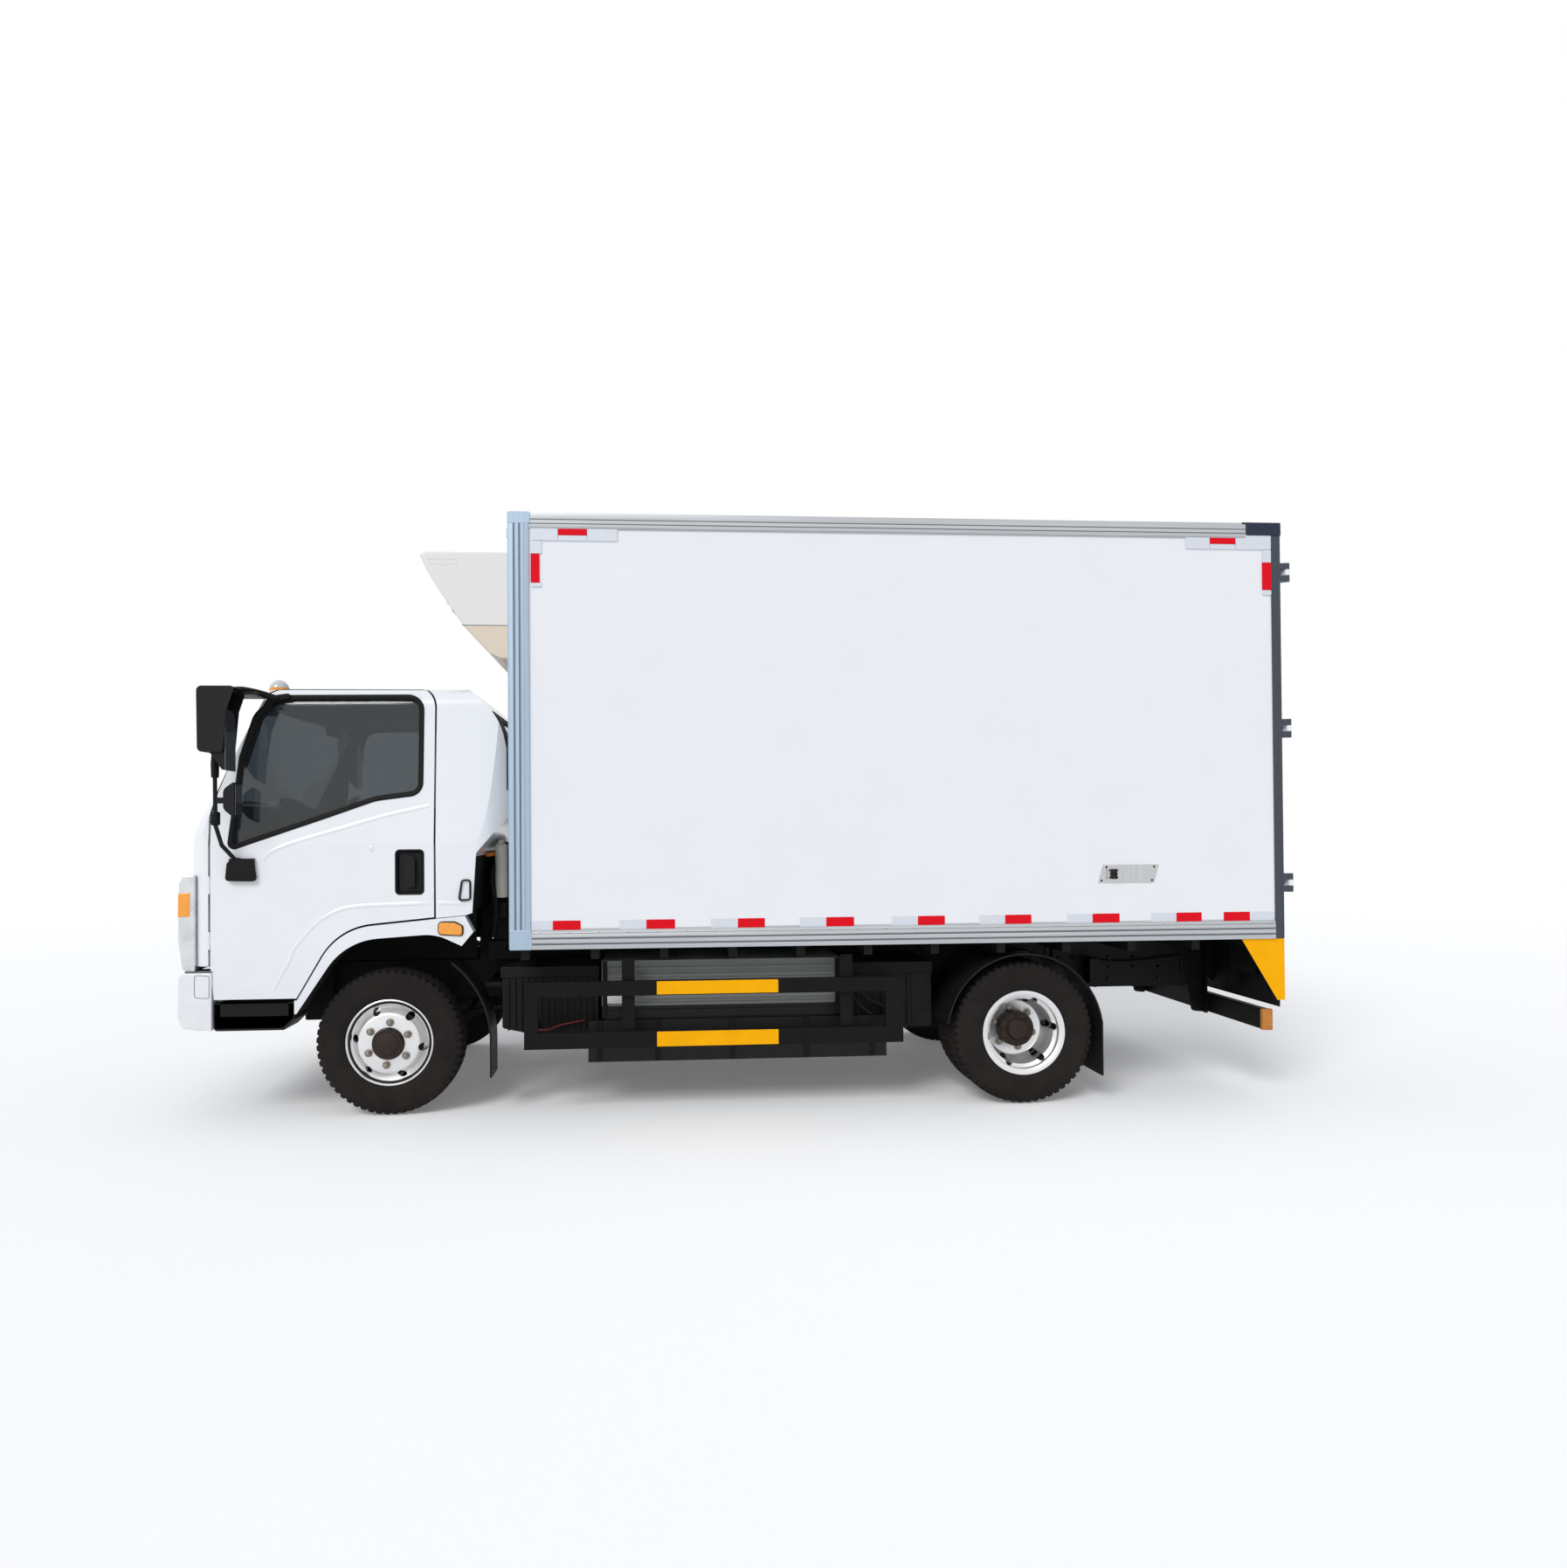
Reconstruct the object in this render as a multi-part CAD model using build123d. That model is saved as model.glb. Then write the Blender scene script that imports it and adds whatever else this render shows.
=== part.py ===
from build123d import *
import math
import os

# Refrigerated box truck. Lengths in millimetres.
# x runs to the rear from the front axle line, y to the vehicle's right, z up from the ground.

# Layout
WHEELBASE = 3360
FRONT_TRACK = 1680
AXLE_Z = 380
OVERALL_FRONT = -1033
BOX_X0 = 657
BOX_X1 = 4774
REAR_PIN_BACK = 40
REAR_KNUCKLE_R = 14
OVERALL_REAR = BOX_X1 + REAR_PIN_BACK + REAR_KNUCKLE_R
MID_X = (OVERALL_FRONT + OVERALL_REAR) / 2

# Wheels and tyres
WHEEL_FLATS = 48
TYRE_R = 380
TYRE_W = 190
TYRE_BULGE_R = 300
TREAD_DROP = 4
TREAD_W = 160
BEAD_R = 203
BEAD_CLEAR = 0.3
FLANGE_CLEAR = 4
RIM_FLANGE_R = 225
RIM_W = 165
RIM_T = 7
RIM_LIP_R = 214
RIM_GROOVE_R = 196
RIM_INNER_R = 178
DISC_OFFSET = 95
DISC_T = 10
DISC_FLAT_R = 150
DISC_FOOT_R = 183
HAND_HOLE_R = 16
HAND_HOLE_PITCH_R = 166
HAND_HOLES = 6
NUT_R = 17
NUT_H = 26
NUT_PCD_R = 111
NUTS = 6
REAR_OUTER_Y = 935
TWIN_GAP = 20

# Hubs, drums, axles and steering
SPINDLE_R = 28
RUNNING_GAP = 0.5
HUB_R = 58
CAP_R = 82
FRONT_CAP_H = 34
REAR_HUB_R = 97
REAR_HUB_H = 90
DRUM_R = 152
DRUM_WALL = 14
DRUM_W = 120
HUB_FLANGE_T = 15
KINGPIN_Y = 726
KINGPIN_R = 20
BOSS_R = 38
BOSS_H = 90
EAR_T = 34
YOKE_T = 24
BACKPLATE_T = 8

# Ladder frame
FRAME_X0 = -840
FRAME_X1 = BOX_X1 - 74
FRAME_HALF = 375
RAIL_TOP = 740
RAIL_H = 210
RAIL_W = 65
RAIL_T = 6
FRAME_TAIL_X = WHEELBASE + 540
FRAME_TAIL_H = 140
MEMBER_W = 70
MEMBER_H = 110
MEMBER_DROP = 20
MEMBER_X = (
    FRAME_X0 + 50,
    BOX_X0 - 97,
    BOX_X0 + 623,
    WHEELBASE - 1280,
    WHEELBASE - 620,
    WHEELBASE + 680,
    FRAME_X1 - 60,
)

# Load box
BOX_HALF = 1095
EDGE_T = 5
BEARER_Z = 815
BEARER_HALF = BOX_HALF - 50
BEARER_W = 44
FLOOR_Z0 = 876
FLOOR_Z1 = 980
DECK_T = 5
DECK_GAP = 2
WALL_T = 80
ROOF_Z = 3112
ROOF_T = 80
BOTTOM_RAIL_H = 95
ROOF_RAIL_H = 77
FRONT_POST_W = 100
PORTAL_T = 50
PORTAL_SIDE = 60
PORTAL_SILL_Z = FLOOR_Z1 + DECK_T
PORTAL_HEAD_Z = ROOF_Z - 72

# Rear doors
REAR_DOOR_GAP = 6
REAR_DOOR_CENTRE = 4
REAR_DOOR_T = 50
REAR_DOOR_PROUD = 4
PLUG_T = 38
PLUG_INSET = 28
REAR_PIN_Y = BOX_HALF
REAR_PIN_R = 8
REAR_HINGE_Z = (
    PORTAL_SILL_Z + 190,
    (PORTAL_SILL_Z + PORTAL_HEAD_Z) / 2 - 4,
    PORTAL_HEAD_Z - 187,
)
REAR_HINGE_H = 100
REAR_STRAP_W = 260
REAR_STRAP_T = 6
LOCK_ROD_R = 13
LOCK_ROD_Y = 130

# Cab
CAB_HALF = 980
CAB_SKIN = 60
CAB_BELT_Z = 1420
CAB_LEAN = 68
CAB_TOP_HALF = CAB_HALF - CAB_LEAN
CAB_TOP_Z = 2235
CAB_CROWN_Z = 2296
CAB_CORNER_R = 110
CAB_REAR_CORNER_R = 180
ROOF_CORNER_R = 110
SILL_Z = 628
CAB_FRONT_Z = 800
TUNNEL_HALF = CAB_HALF - 120
DOOR_GAP = 10
DOOR_FLANGE_T = 22
DOOR_STEP = 16
DOOR_IN = CAB_HALF - 175
DOOR_BACK_GAP = 5
SEAL_GAP = 0.4
RUBBER_GAP = 0.3
GLASS_T = 6
GLASS_SET = 5
TILT_X = -915
TILT_Z = 850
TILT_EYE_R = 20
TILT_PIN_R = 10
TILT_LUG_T = 15
DOOR_PIN_X = -887
DOOR_PIN_R = 4
DOOR_FRONT_X = -882
DOOR_HINGE_Z = (930, 1215)


def turned_corner(before, here, after, radius):
    towards = (before - here).normalized()
    onwards = (after - here).normalized()
    half = math.radians(towards.get_angle(onwards) / 2)
    inwards = (towards + onwards).normalized()
    centre = here + inwards * (radius / math.sin(half))
    reach = radius / math.tan(half)
    return here + towards * reach, centre - inwards * radius, here + onwards * reach


def outline(rows, place):
    # Closed face from rows of (u, v, corner radius)
    points = [Vector(u, v) for u, v, radius in rows]
    count = len(rows)
    corners = []
    for i in range(count):
        here = points[i]
        radius = rows[i][2]
        if radius == 0:
            corners.append((here, None, here))
        else:
            after = points[(i + 1) % count]
            corners.append(turned_corner(points[i - 1], here, after, radius))
    edges = []
    for i in range(count):
        first, middle, last = corners[i]
        following = corners[(i + 1) % count][0]
        if middle is not None:
            edges.append(Edge.make_three_point_arc(place(first), place(middle), place(last)))
        if (following - last).length > 0.01:
            edges.append(Edge.make_line(place(last), place(following)))
    return Face(Wire(edges))


def side_form(rows, y0, y1):
    face = outline(rows, lambda p: Vector(p.X, y0, p.Y))
    return extrude(face, amount=y1 - y0, dir=(0, 1, 0))


def front_form(rows, x0, x1):
    face = outline(rows, lambda p: Vector(x0, p.X, p.Y))
    return extrude(face, amount=x1 - x0, dir=(1, 0, 0))


def plan_form(rows, z0, z1):
    face = outline(rows, lambda p: Vector(p.X, p.Y, z0))
    return extrude(face, amount=z1 - z0, dir=(0, 0, 1))


def block(x0, x1, y0, y1, z0, z1):
    middle = ((x0 + x1) / 2, (y0 + y1) / 2, (z0 + z1) / 2)
    return Pos(*middle) * Box(abs(x1 - x0), abs(y1 - y0), abs(z1 - z0))


def rod_x(x0, x1, y, z, radius):
    return Pos((x0 + x1) / 2, y, z) * Rot(0, 90, 0) * Cylinder(radius, abs(x1 - x0))


def rod_y(x, y0, y1, z, radius):
    return Pos(x, (y0 + y1) / 2, z) * Rot(90, 0, 0) * Cylinder(radius, abs(y1 - y0))


def rod_z(x, y, z0, z1, radius):
    return Pos(x, y, (z0 + z1) / 2) * Cylinder(radius, abs(z1 - z0))


def bent_tube(points, radius, bends):
    path = FilletPolyline(*points, radius=bends)
    start = Plane(origin=path @ 0, z_dir=path % 0)
    return sweep(start * Circle(radius), path=path)


def faceted(rows, place, flats=WHEEL_FLATS):
    # Ring with flat facets round its axis, from a closed outline of (along axis, radius)
    spots = []
    for k in range(flats):
        angle = 2 * math.pi * k / flats
        c = math.cos(angle)
        s = math.sin(angle)
        spots.append([place(radius * c, along, radius * s) for along, radius in rows])
    faces = []
    count = len(rows)
    for i in range(count):
        j = (i + 1) % count
        if rows[i][0] == rows[j][0]:
            large, small = (i, j) if rows[i][1] > rows[j][1] else (j, i)
            rim_edge = Wire.make_polygon([spot[large] for spot in spots])
            bore_edge = Wire.make_polygon([spot[small] for spot in spots])
            faces.append(Face(rim_edge, [bore_edge]))
            continue
        for k in range(flats):
            m = (k + 1) % flats
            corners = [spots[k][i], spots[k][j], spots[m][j], spots[m][i]]
            faces.append(Face(Wire.make_polygon(corners)))
    return Solid(Shell(faces))


def wheel_ring(rows, x, centre=0, way=1):
    placed = [(centre + way * along, radius) for along, radius in rows]
    return faceted(placed, lambda a, b, c: Vector(x + a, b, AXLE_Z + c))


def other_side(shape):
    return mirror(shape, about=Plane.XZ)


def both_sides(shape):
    return shape + other_side(shape)


# Wheels: left-hand parts are drawn at negative y and mirrored

def tyre(x, centre):
    half = TYRE_W / 2
    tread = TREAD_W / 2
    seat = RIM_W / 2 - RIM_T - RUNNING_GAP
    bead = BEAD_R + BEAD_CLEAR
    side = [
        (seat, bead),
        (seat, RIM_FLANGE_R + FLANGE_CLEAR),
        (half, TYRE_BULGE_R),
        (tread, TYRE_R - TREAD_DROP),
        (tread * 0.6, TYRE_R),
    ]
    rows = side + [(-along, radius) for along, radius in reversed(side)]
    return wheel_ring(rows, x, centre)


BORE_R = SPINDLE_R + RUNNING_GAP


def rim(x, centre, way):
    # way is the direction of the disc's convex face along y
    half = RIM_W / 2
    foot = DISC_OFFSET - 31
    rows = [
        (DISC_OFFSET, SPINDLE_R - 4),
        (DISC_OFFSET + DISC_T, SPINDLE_R - 4),
        (DISC_OFFSET + DISC_T, DISC_FLAT_R),
        (foot, DISC_FOOT_R),
        (foot, RIM_GROOVE_R),
        (half, RIM_LIP_R),
        (half, RIM_FLANGE_R),
        (half - RIM_T, RIM_FLANGE_R),
        (half - RIM_T, BEAD_R),
        (-half + RIM_T, BEAD_R),
        (-half + RIM_T, RIM_FLANGE_R),
        (-half, RIM_FLANGE_R),
        (-half, RIM_LIP_R),
        (-half + 22, RIM_GROOVE_R - 2),
        (foot - 24, RIM_INNER_R),
        (foot - 8, RIM_INNER_R - 2),
        (DISC_OFFSET, DISC_FLAT_R - 6),
    ]
    ring = wheel_ring(rows, x, centre, way)
    opening = Plane.XZ * RegularPolygon(HAND_HOLE_R, 12)
    for i in range(HAND_HOLES):
        angle = math.radians(360 * (i + 0.5) / HAND_HOLES)
        hole_x = x + HAND_HOLE_PITCH_R * math.cos(angle)
        hole_z = AXLE_Z + HAND_HOLE_PITCH_R * math.sin(angle)
        near = centre + way * (foot - 7)
        ring -= Pos(hole_x, near, hole_z) * extrude(opening, amount=-way * 90)
    return ring


def nuts(x, face, side):
    ring = None
    for i in range(NUTS):
        angle = 360 * i / NUTS
        nut_x = x + NUT_PCD_R * math.cos(math.radians(angle))
        nut_z = AXLE_Z + NUT_PCD_R * math.sin(math.radians(angle))
        hexagon = Plane.XZ * RegularPolygon(NUT_R, 6)
        nut = Pos(nut_x, face + side * NUT_H, nut_z) * extrude(hexagon, amount=NUT_H * side)
        ring = nut if ring is None else ring + nut
    return ring


def hub(x, back, way):
    # Brake drum and hub behind the disc, drawn from its mounting face
    rows = [
        (0, SPINDLE_R - 4),
        (0, DRUM_R),
        (-DRUM_W, DRUM_R),
        (-DRUM_W, DRUM_R - DRUM_WALL),
        (-HUB_FLANGE_T, DRUM_R - DRUM_WALL),
        (-HUB_FLANGE_T, HUB_R),
        (10 - DRUM_W, HUB_R),
        (10 - DRUM_W, SPINDLE_R - 4),
    ]
    return wheel_ring(rows, x, back, way)


def hub_cap(x, face, height, radius):
    flat = Plane.XZ * RegularPolygon(radius, WHEEL_FLATS)
    return Pos(x, face, AXLE_Z) * extrude(flat, amount=height)


FRONT_Y = -FRONT_TRACK / 2
REAR_PLATE_Y = -(REAR_OUTER_Y - DISC_OFFSET)
REAR_INNER_Y = -(REAR_OUTER_Y - TYRE_W - TWIN_GAP)
SPINDLE_PROUD = 4


def front_rim():
    inner = FRONT_Y - DISC_OFFSET
    face = inner - DISC_T
    wheel = rim(0, FRONT_Y, -1) + hub(0, inner, -1)
    wheel += hub_cap(0, face, FRONT_CAP_H, CAP_R)
    wheel -= rod_y(0, inner - SPINDLE_PROUD - RUNNING_GAP, inner + DRUM_W, AXLE_Z, BORE_R)
    return wheel + nuts(0, face, -1)


def rear_rim():
    back = REAR_INNER_Y - DISC_OFFSET
    wheel = rim(WHEELBASE, -REAR_OUTER_Y, 1) + rim(WHEELBASE, REAR_INNER_Y, -1)
    wheel += hub(WHEELBASE, back, -1)
    wheel += hub_cap(WHEELBASE, REAR_PLATE_Y, REAR_HUB_H, REAR_HUB_R)
    end = REAR_PLATE_Y + DISC_T - SPINDLE_PROUD
    wheel -= rod_y(WHEELBASE, end - RUNNING_GAP, back + DRUM_W, AXLE_Z, BORE_R)
    return wheel + nuts(WHEELBASE, REAR_PLATE_Y, -1)


def knuckle():
    low = AXLE_Z - BOSS_H / 2
    high = AXLE_Z + BOSS_H / 2
    gap = RUNNING_GAP
    y = -KINGPIN_Y
    plate = y - BOSS_R - 5
    body = rod_z(0, y, low - gap - EAR_T, high + gap + EAR_T, KINGPIN_R)
    body += rod_z(0, y, low - gap - EAR_T, low - gap, BOSS_R)
    body += rod_z(0, y, high + gap, high + gap + EAR_T, BOSS_R)
    body += block(-BOSS_R, BOSS_R, plate - YOKE_T, y, low - gap - EAR_T, low - gap)
    body += block(-BOSS_R, BOSS_R, plate - YOKE_T, y, high + gap, high + gap + EAR_T)
    body += block(-BOSS_R, BOSS_R, plate - YOKE_T, plate, low - gap - EAR_T, high + gap + EAR_T)
    end = FRONT_Y - DISC_OFFSET - SPINDLE_PROUD
    body += rod_y(0, end, plate, AXLE_Z, SPINDLE_R)
    back = FRONT_Y - DISC_OFFSET + DRUM_W + 6
    body += rod_y(0, back, back + BACKPLATE_T, AXLE_Z, DRUM_R)
    arm = [
        (-BOSS_R, y - 20, 0),
        (-BOSS_R - 150, y + 60, 0),
        (-BOSS_R - 150, y + 100, 0),
        (-BOSS_R + 30, y + 20, 0),
    ]
    body += plan_form(arm, low - gap - EAR_T, low - gap - EAR_T + 20)
    return body


def axle_beam():
    low = AXLE_Z - BOSS_H / 2
    high = AXLE_Z + BOSS_H / 2
    y = KINGPIN_Y
    rows = [
        (-y, low, 0),
        (-y + 130, low, 0),
        (-y + 300, low - 60, 60),
        (y - 300, low - 60, 60),
        (y - 130, low, 0),
        (y, low, 0),
        (y, high, 0),
        (y - 110, high, 0),
        (y - 290, high - 30, 60),
        (-y + 290, high - 30, 60),
        (-y + 110, high, 0),
        (-y, high, 0),
    ]
    beam = front_form(rows, -35, 35)
    web = 12
    waist = block(web, 40, -y + 150, y - 150, low - 30, high - 50)
    beam -= waist
    beam -= block(-40, -web, -y + 150, y - 150, low - 30, high - 50)
    for side in (-1, 1):
        beam += rod_z(0, side * y, low, high, BOSS_R)
    for side in (-1, 1):
        beam -= rod_z(0, side * y, low - 1, high + 1, KINGPIN_R + RUNNING_GAP)
    return beam


FRONT_SPRING_Y = (332, 402)
REAR_SPRING_Y = (420, 490)
SPRING_T = 42
FRONT_SPRING_Z = AXLE_Z + BOSS_H / 2 - 30
REAR_TUBE_R = 62
REAR_SPRING_Z = AXLE_Z + REAR_TUBE_R
FRONT_SPRING_REACH = 610
REAR_SPRING_REACH = 620
EYE_R = 26
RAIL_BOTTOM = RAIL_TOP - RAIL_H


def spring(x, z, reach, span, eye_z):
    rows = [
        (x - reach, eye_z - 8, 0),
        (x - reach, eye_z + 8, 0),
        (x - reach * 0.45, z + SPRING_T + 6, 300),
        (x + reach * 0.45, z + SPRING_T + 6, 300),
        (x + reach, eye_z + 8, 0),
        (x + reach, eye_z - 8, 0),
        (x + reach * 0.3, z, 200),
        (x - reach * 0.3, z, 200),
    ]
    leaf = side_form(rows, -span[1], -span[0])
    for end in (-1, 1):
        leaf += rod_y(x + end * reach, -span[1], -span[0], eye_z, EYE_R)
    return leaf


def springs():
    front_eye = RAIL_BOTTOM - EYE_R - 12
    front = spring(0, FRONT_SPRING_Z, FRONT_SPRING_REACH, FRONT_SPRING_Y, front_eye)
    for end in (-1, 1):
        x = end * FRONT_SPRING_REACH
        front += block(x - 30, x + 30, -FRONT_SPRING_Y[1], -FRONT_SPRING_Y[0], front_eye, RAIL_BOTTOM)
    rear_eye = RAIL_BOTTOM + 30
    rear = spring(WHEELBASE, REAR_SPRING_Z, REAR_SPRING_REACH, REAR_SPRING_Y, rear_eye)
    for end in (-1, 1):
        x = WHEELBASE + end * REAR_SPRING_REACH
        top = RAIL_TOP - 40
        rear += block(x - 30, x + 30, -REAR_SPRING_Y[1], -FRAME_HALF, rear_eye, top)
    return both_sides(front + rear)


def rear_axle():
    end = -REAR_PLATE_Y - DISC_T + SPINDLE_PROUD
    tube_end = -REAR_INNER_Y - DISC_OFFSET + 40
    axle = rod_y(WHEELBASE, -tube_end, tube_end, AXLE_Z, REAR_TUBE_R)
    axle += rod_y(WHEELBASE, -end, end, AXLE_Z, SPINDLE_R)
    casing = [
        (WHEELBASE - 60, 0, 0),
        (WHEELBASE - 60, 165, 0),
        (WHEELBASE + 60, 150, 0),
        (WHEELBASE + 130, 80, 0),
        (WHEELBASE + 130, 0, 0),
    ]
    face = outline(casing, lambda p: Vector(p.X, 0, AXLE_Z + p.Y))
    axle += revolve(face, axis=Axis((0, 0, AXLE_Z), (1, 0, 0)))
    axle += block(WHEELBASE - 430, WHEELBASE - 60, -150, 150, AXLE_Z - 130, AXLE_Z + 130)
    return axle


# Ladder frame

def rail_rows(inset):
    return [
        (FRAME_X0, RAIL_TOP - inset, 0),
        (FRAME_X1, RAIL_TOP - inset, 0),
        (FRAME_X1, RAIL_TOP - FRAME_TAIL_H + inset, 0),
        (FRAME_TAIL_X, RAIL_BOTTOM + inset, 0),
        (FRAME_X0 + 160, RAIL_BOTTOM + inset, 0),
        (FRAME_X0, RAIL_BOTTOM + 70 + inset, 0),
    ]


def ladder_frame():
    rail = side_form(rail_rows(0), -FRAME_HALF, -FRAME_HALF + RAIL_W)
    rail -= side_form(rail_rows(RAIL_T), -FRAME_HALF + RAIL_T, -FRAME_HALF + RAIL_W + 1)
    frame = both_sides(rail)
    web = FRAME_HALF - RAIL_T
    top = RAIL_TOP - RAIL_T - MEMBER_DROP
    for x in MEMBER_X:
        frame += block(x - MEMBER_W / 2, x + MEMBER_W / 2, -web, web, top - MEMBER_H, top)
    runner = block(BOX_X0, BOX_X1 - PORTAL_T, -FRAME_HALF, -FRAME_HALF + RAIL_W, RAIL_TOP, BEARER_Z)
    frame += both_sides(runner)
    eye = rod_y(TILT_X, -FRAME_HALF, -FRAME_HALF + RAIL_W, TILT_Z, TILT_EYE_R)
    drop = TILT_Z - RAIL_TOP
    slope = TILT_EYE_R / math.sqrt(2)
    wide = TILT_EYE_R * math.sqrt(2)
    arm = [
        (TILT_X - slope, TILT_Z - slope, 0),
        (TILT_X + drop - wide, RAIL_TOP, 0),
        (TILT_X + drop + wide, RAIL_TOP, 0),
        (TILT_X + slope, TILT_Z + slope, 0),
    ]
    tower = side_form(arm, -FRAME_HALF, -FRAME_HALF + RAIL_W) + eye
    tower -= rod_y(TILT_X, -FRAME_HALF - 1, -FRAME_HALF + RAIL_W + 1, TILT_Z, TILT_PIN_R + RUNNING_GAP)
    return frame + both_sides(tower)


# Load box

SIDE_IN = BOX_HALF - WALL_T
ROOF_UNDER = ROOF_Z - ROOF_T
PORTAL_X = BOX_X1 - PORTAL_T


def box_floor():
    slab = block(BOX_X0, PORTAL_X, -BOX_HALF, BOX_HALF, FLOOR_Z0, FLOOR_Z1)
    side = SIDE_IN - DECK_GAP
    rear = PORTAL_X - PLUG_T - DECK_GAP
    return slab + block(BOX_X0 + WALL_T + DECK_GAP, rear, -side, side, FLOOR_Z1, FLOOR_Z1 + DECK_T)


def box_walls():
    wall = block(BOX_X0 + WALL_T, PORTAL_X, -BOX_HALF, -SIDE_IN, FLOOR_Z1, ROOF_UNDER)
    return both_sides(wall)


def edge_rails():
    low = FLOOR_Z0
    top = ROOF_Z + EDGE_T
    wide = BOX_HALF + EDGE_T
    front = BOX_X0 - EDGE_T
    shell = block(front, PORTAL_X, -wide, wide, low, top)
    shell -= block(BOX_X0, PORTAL_X + 1, -BOX_HALF, BOX_HALF, low - 1, ROOF_Z)
    side_low = low + BOTTOM_RAIL_H
    side_high = top - ROOF_RAIL_H
    post = front + FRONT_POST_W
    shell -= block(post, PORTAL_X + 1, -wide - 1, wide + 1, side_low, side_high)
    inner = BOX_HALF - ROOF_RAIL_H
    shell -= block(front - 1, BOX_X0 + 1, -inner, inner, side_low, side_high)
    shell -= block(post, PORTAL_X + 1, -inner, inner, ROOF_Z - 1, top + 1)
    return shell


BEARERS = 12


def bearers():
    group = None
    span = PORTAL_X - BOX_X0 - 120
    for i in range(BEARERS):
        x = BOX_X0 + 60 + span * i / (BEARERS - 1)
        half = BEARER_W / 2
        bar = block(x - half, x + half, -BEARER_HALF, BEARER_HALF, BEARER_Z, FLOOR_Z0)
        group = bar if group is None else group + bar
    return group


def rear_portal():
    wide = BOX_HALF + EDGE_T
    frame = block(PORTAL_X, BOX_X1, -wide, wide, FLOOR_Z0, ROOF_Z + EDGE_T)
    mouth = wide - PORTAL_SIDE
    frame -= block(PORTAL_X - 1, BOX_X1 + 1, -mouth, mouth, PORTAL_SILL_Z, PORTAL_HEAD_Z)
    pin_x = BOX_X1 + REAR_PIN_BACK
    half = REAR_HINGE_H / 2
    third = REAR_HINGE_H / 6
    lug_rows = [
        (BOX_X1, -wide, 0),
        (BOX_X1, -wide + 45, 0),
        (pin_x, -REAR_PIN_Y + REAR_KNUCKLE_R, 0),
        (pin_x, -REAR_PIN_Y - REAR_KNUCKLE_R, 0),
    ]
    lugs = None
    for z in REAR_HINGE_Z:
        group = rod_z(pin_x, -REAR_PIN_Y, z - half, z + half, REAR_PIN_R)
        for low, high in ((z - half, z - third), (z + third, z + half)):
            group += plan_form(lug_rows, low, high)
            group += rod_z(pin_x, -REAR_PIN_Y, low, high, REAR_KNUCKLE_R)
        lugs = group if lugs is None else lugs + group
    return frame + both_sides(lugs)


def rear_door():
    wide = BOX_HALF + EDGE_T - PORTAL_SIDE - REAR_DOOR_GAP
    low = PORTAL_SILL_Z + REAR_DOOR_GAP
    high = PORTAL_HEAD_Z - REAR_DOOR_GAP
    face = BOX_X1 + REAR_DOOR_PROUD
    back = face - REAR_DOOR_T
    inner = back - PLUG_T
    panel = block(back, face, -wide, -REAR_DOOR_CENTRE, low, high)
    plug_side = -wide + PLUG_INSET
    panel += block(inner, back, plug_side, -PLUG_INSET, low + PLUG_INSET, high - PLUG_INSET)
    pin_x = BOX_X1 + REAR_PIN_BACK
    third = REAR_HINGE_H / 6 - 1
    bore = REAR_PIN_R + RUNNING_GAP
    for z in REAR_HINGE_Z:
        strap = block(face, face + REAR_STRAP_T, -wide, -wide + REAR_STRAP_W, z - third, z + third)
        arm = [
            (pin_x - 10, -REAR_PIN_Y - 5, 0),
            (pin_x + 8, -REAR_PIN_Y + 8, 0),
            (face + REAR_STRAP_T, -wide + 12, 0),
            (face, -wide + 12, 0),
            (face, -wide, 0),
        ]
        knuckle_part = rod_z(pin_x, -REAR_PIN_Y, z - third, z + third, REAR_KNUCKLE_R)
        hinge = plan_form(arm, z - third, z + third) + knuckle_part
        hinge -= rod_z(pin_x, -REAR_PIN_Y, z - third - 1, z + third + 1, bore)
        panel += strap + hinge
    return panel


LOCK_STAND_OFF = 8
LOCK_HANDLE_Z = (1400, 1430)
LOCK_HANDLE_L = 420


def lock_rod():
    face = BOX_X1 + REAR_DOOR_PROUD
    x = face + LOCK_ROD_R + LOCK_STAND_OFF
    y = -LOCK_ROD_Y
    cap = x + LOCK_ROD_R + 5
    bar = Pos(x, y, FLOOR_Z0 + 30) * extrude(RegularPolygon(LOCK_ROD_R, 12), amount=ROOF_Z - 50 - FLOOR_Z0)
    low = PORTAL_SILL_Z + 120
    high = PORTAL_HEAD_Z - 120
    for i in range(4):
        z = low + (high - low) * i / 3
        bar += block(face, cap, y - 28, y + 28, z - 25, z + 25)
    z0, z1 = LOCK_HANDLE_Z
    bar += block(x + LOCK_ROD_R - 6, x + LOCK_ROD_R + 6, y - LOCK_HANDLE_L, y, z0, z1)
    bar += block(face, x + LOCK_ROD_R + 6, y - LOCK_HANDLE_L - 10, y - LOCK_HANDLE_L + 30, z0 - 15, z1 + 15)
    return bar


# Refrigeration unit over the cab

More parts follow.
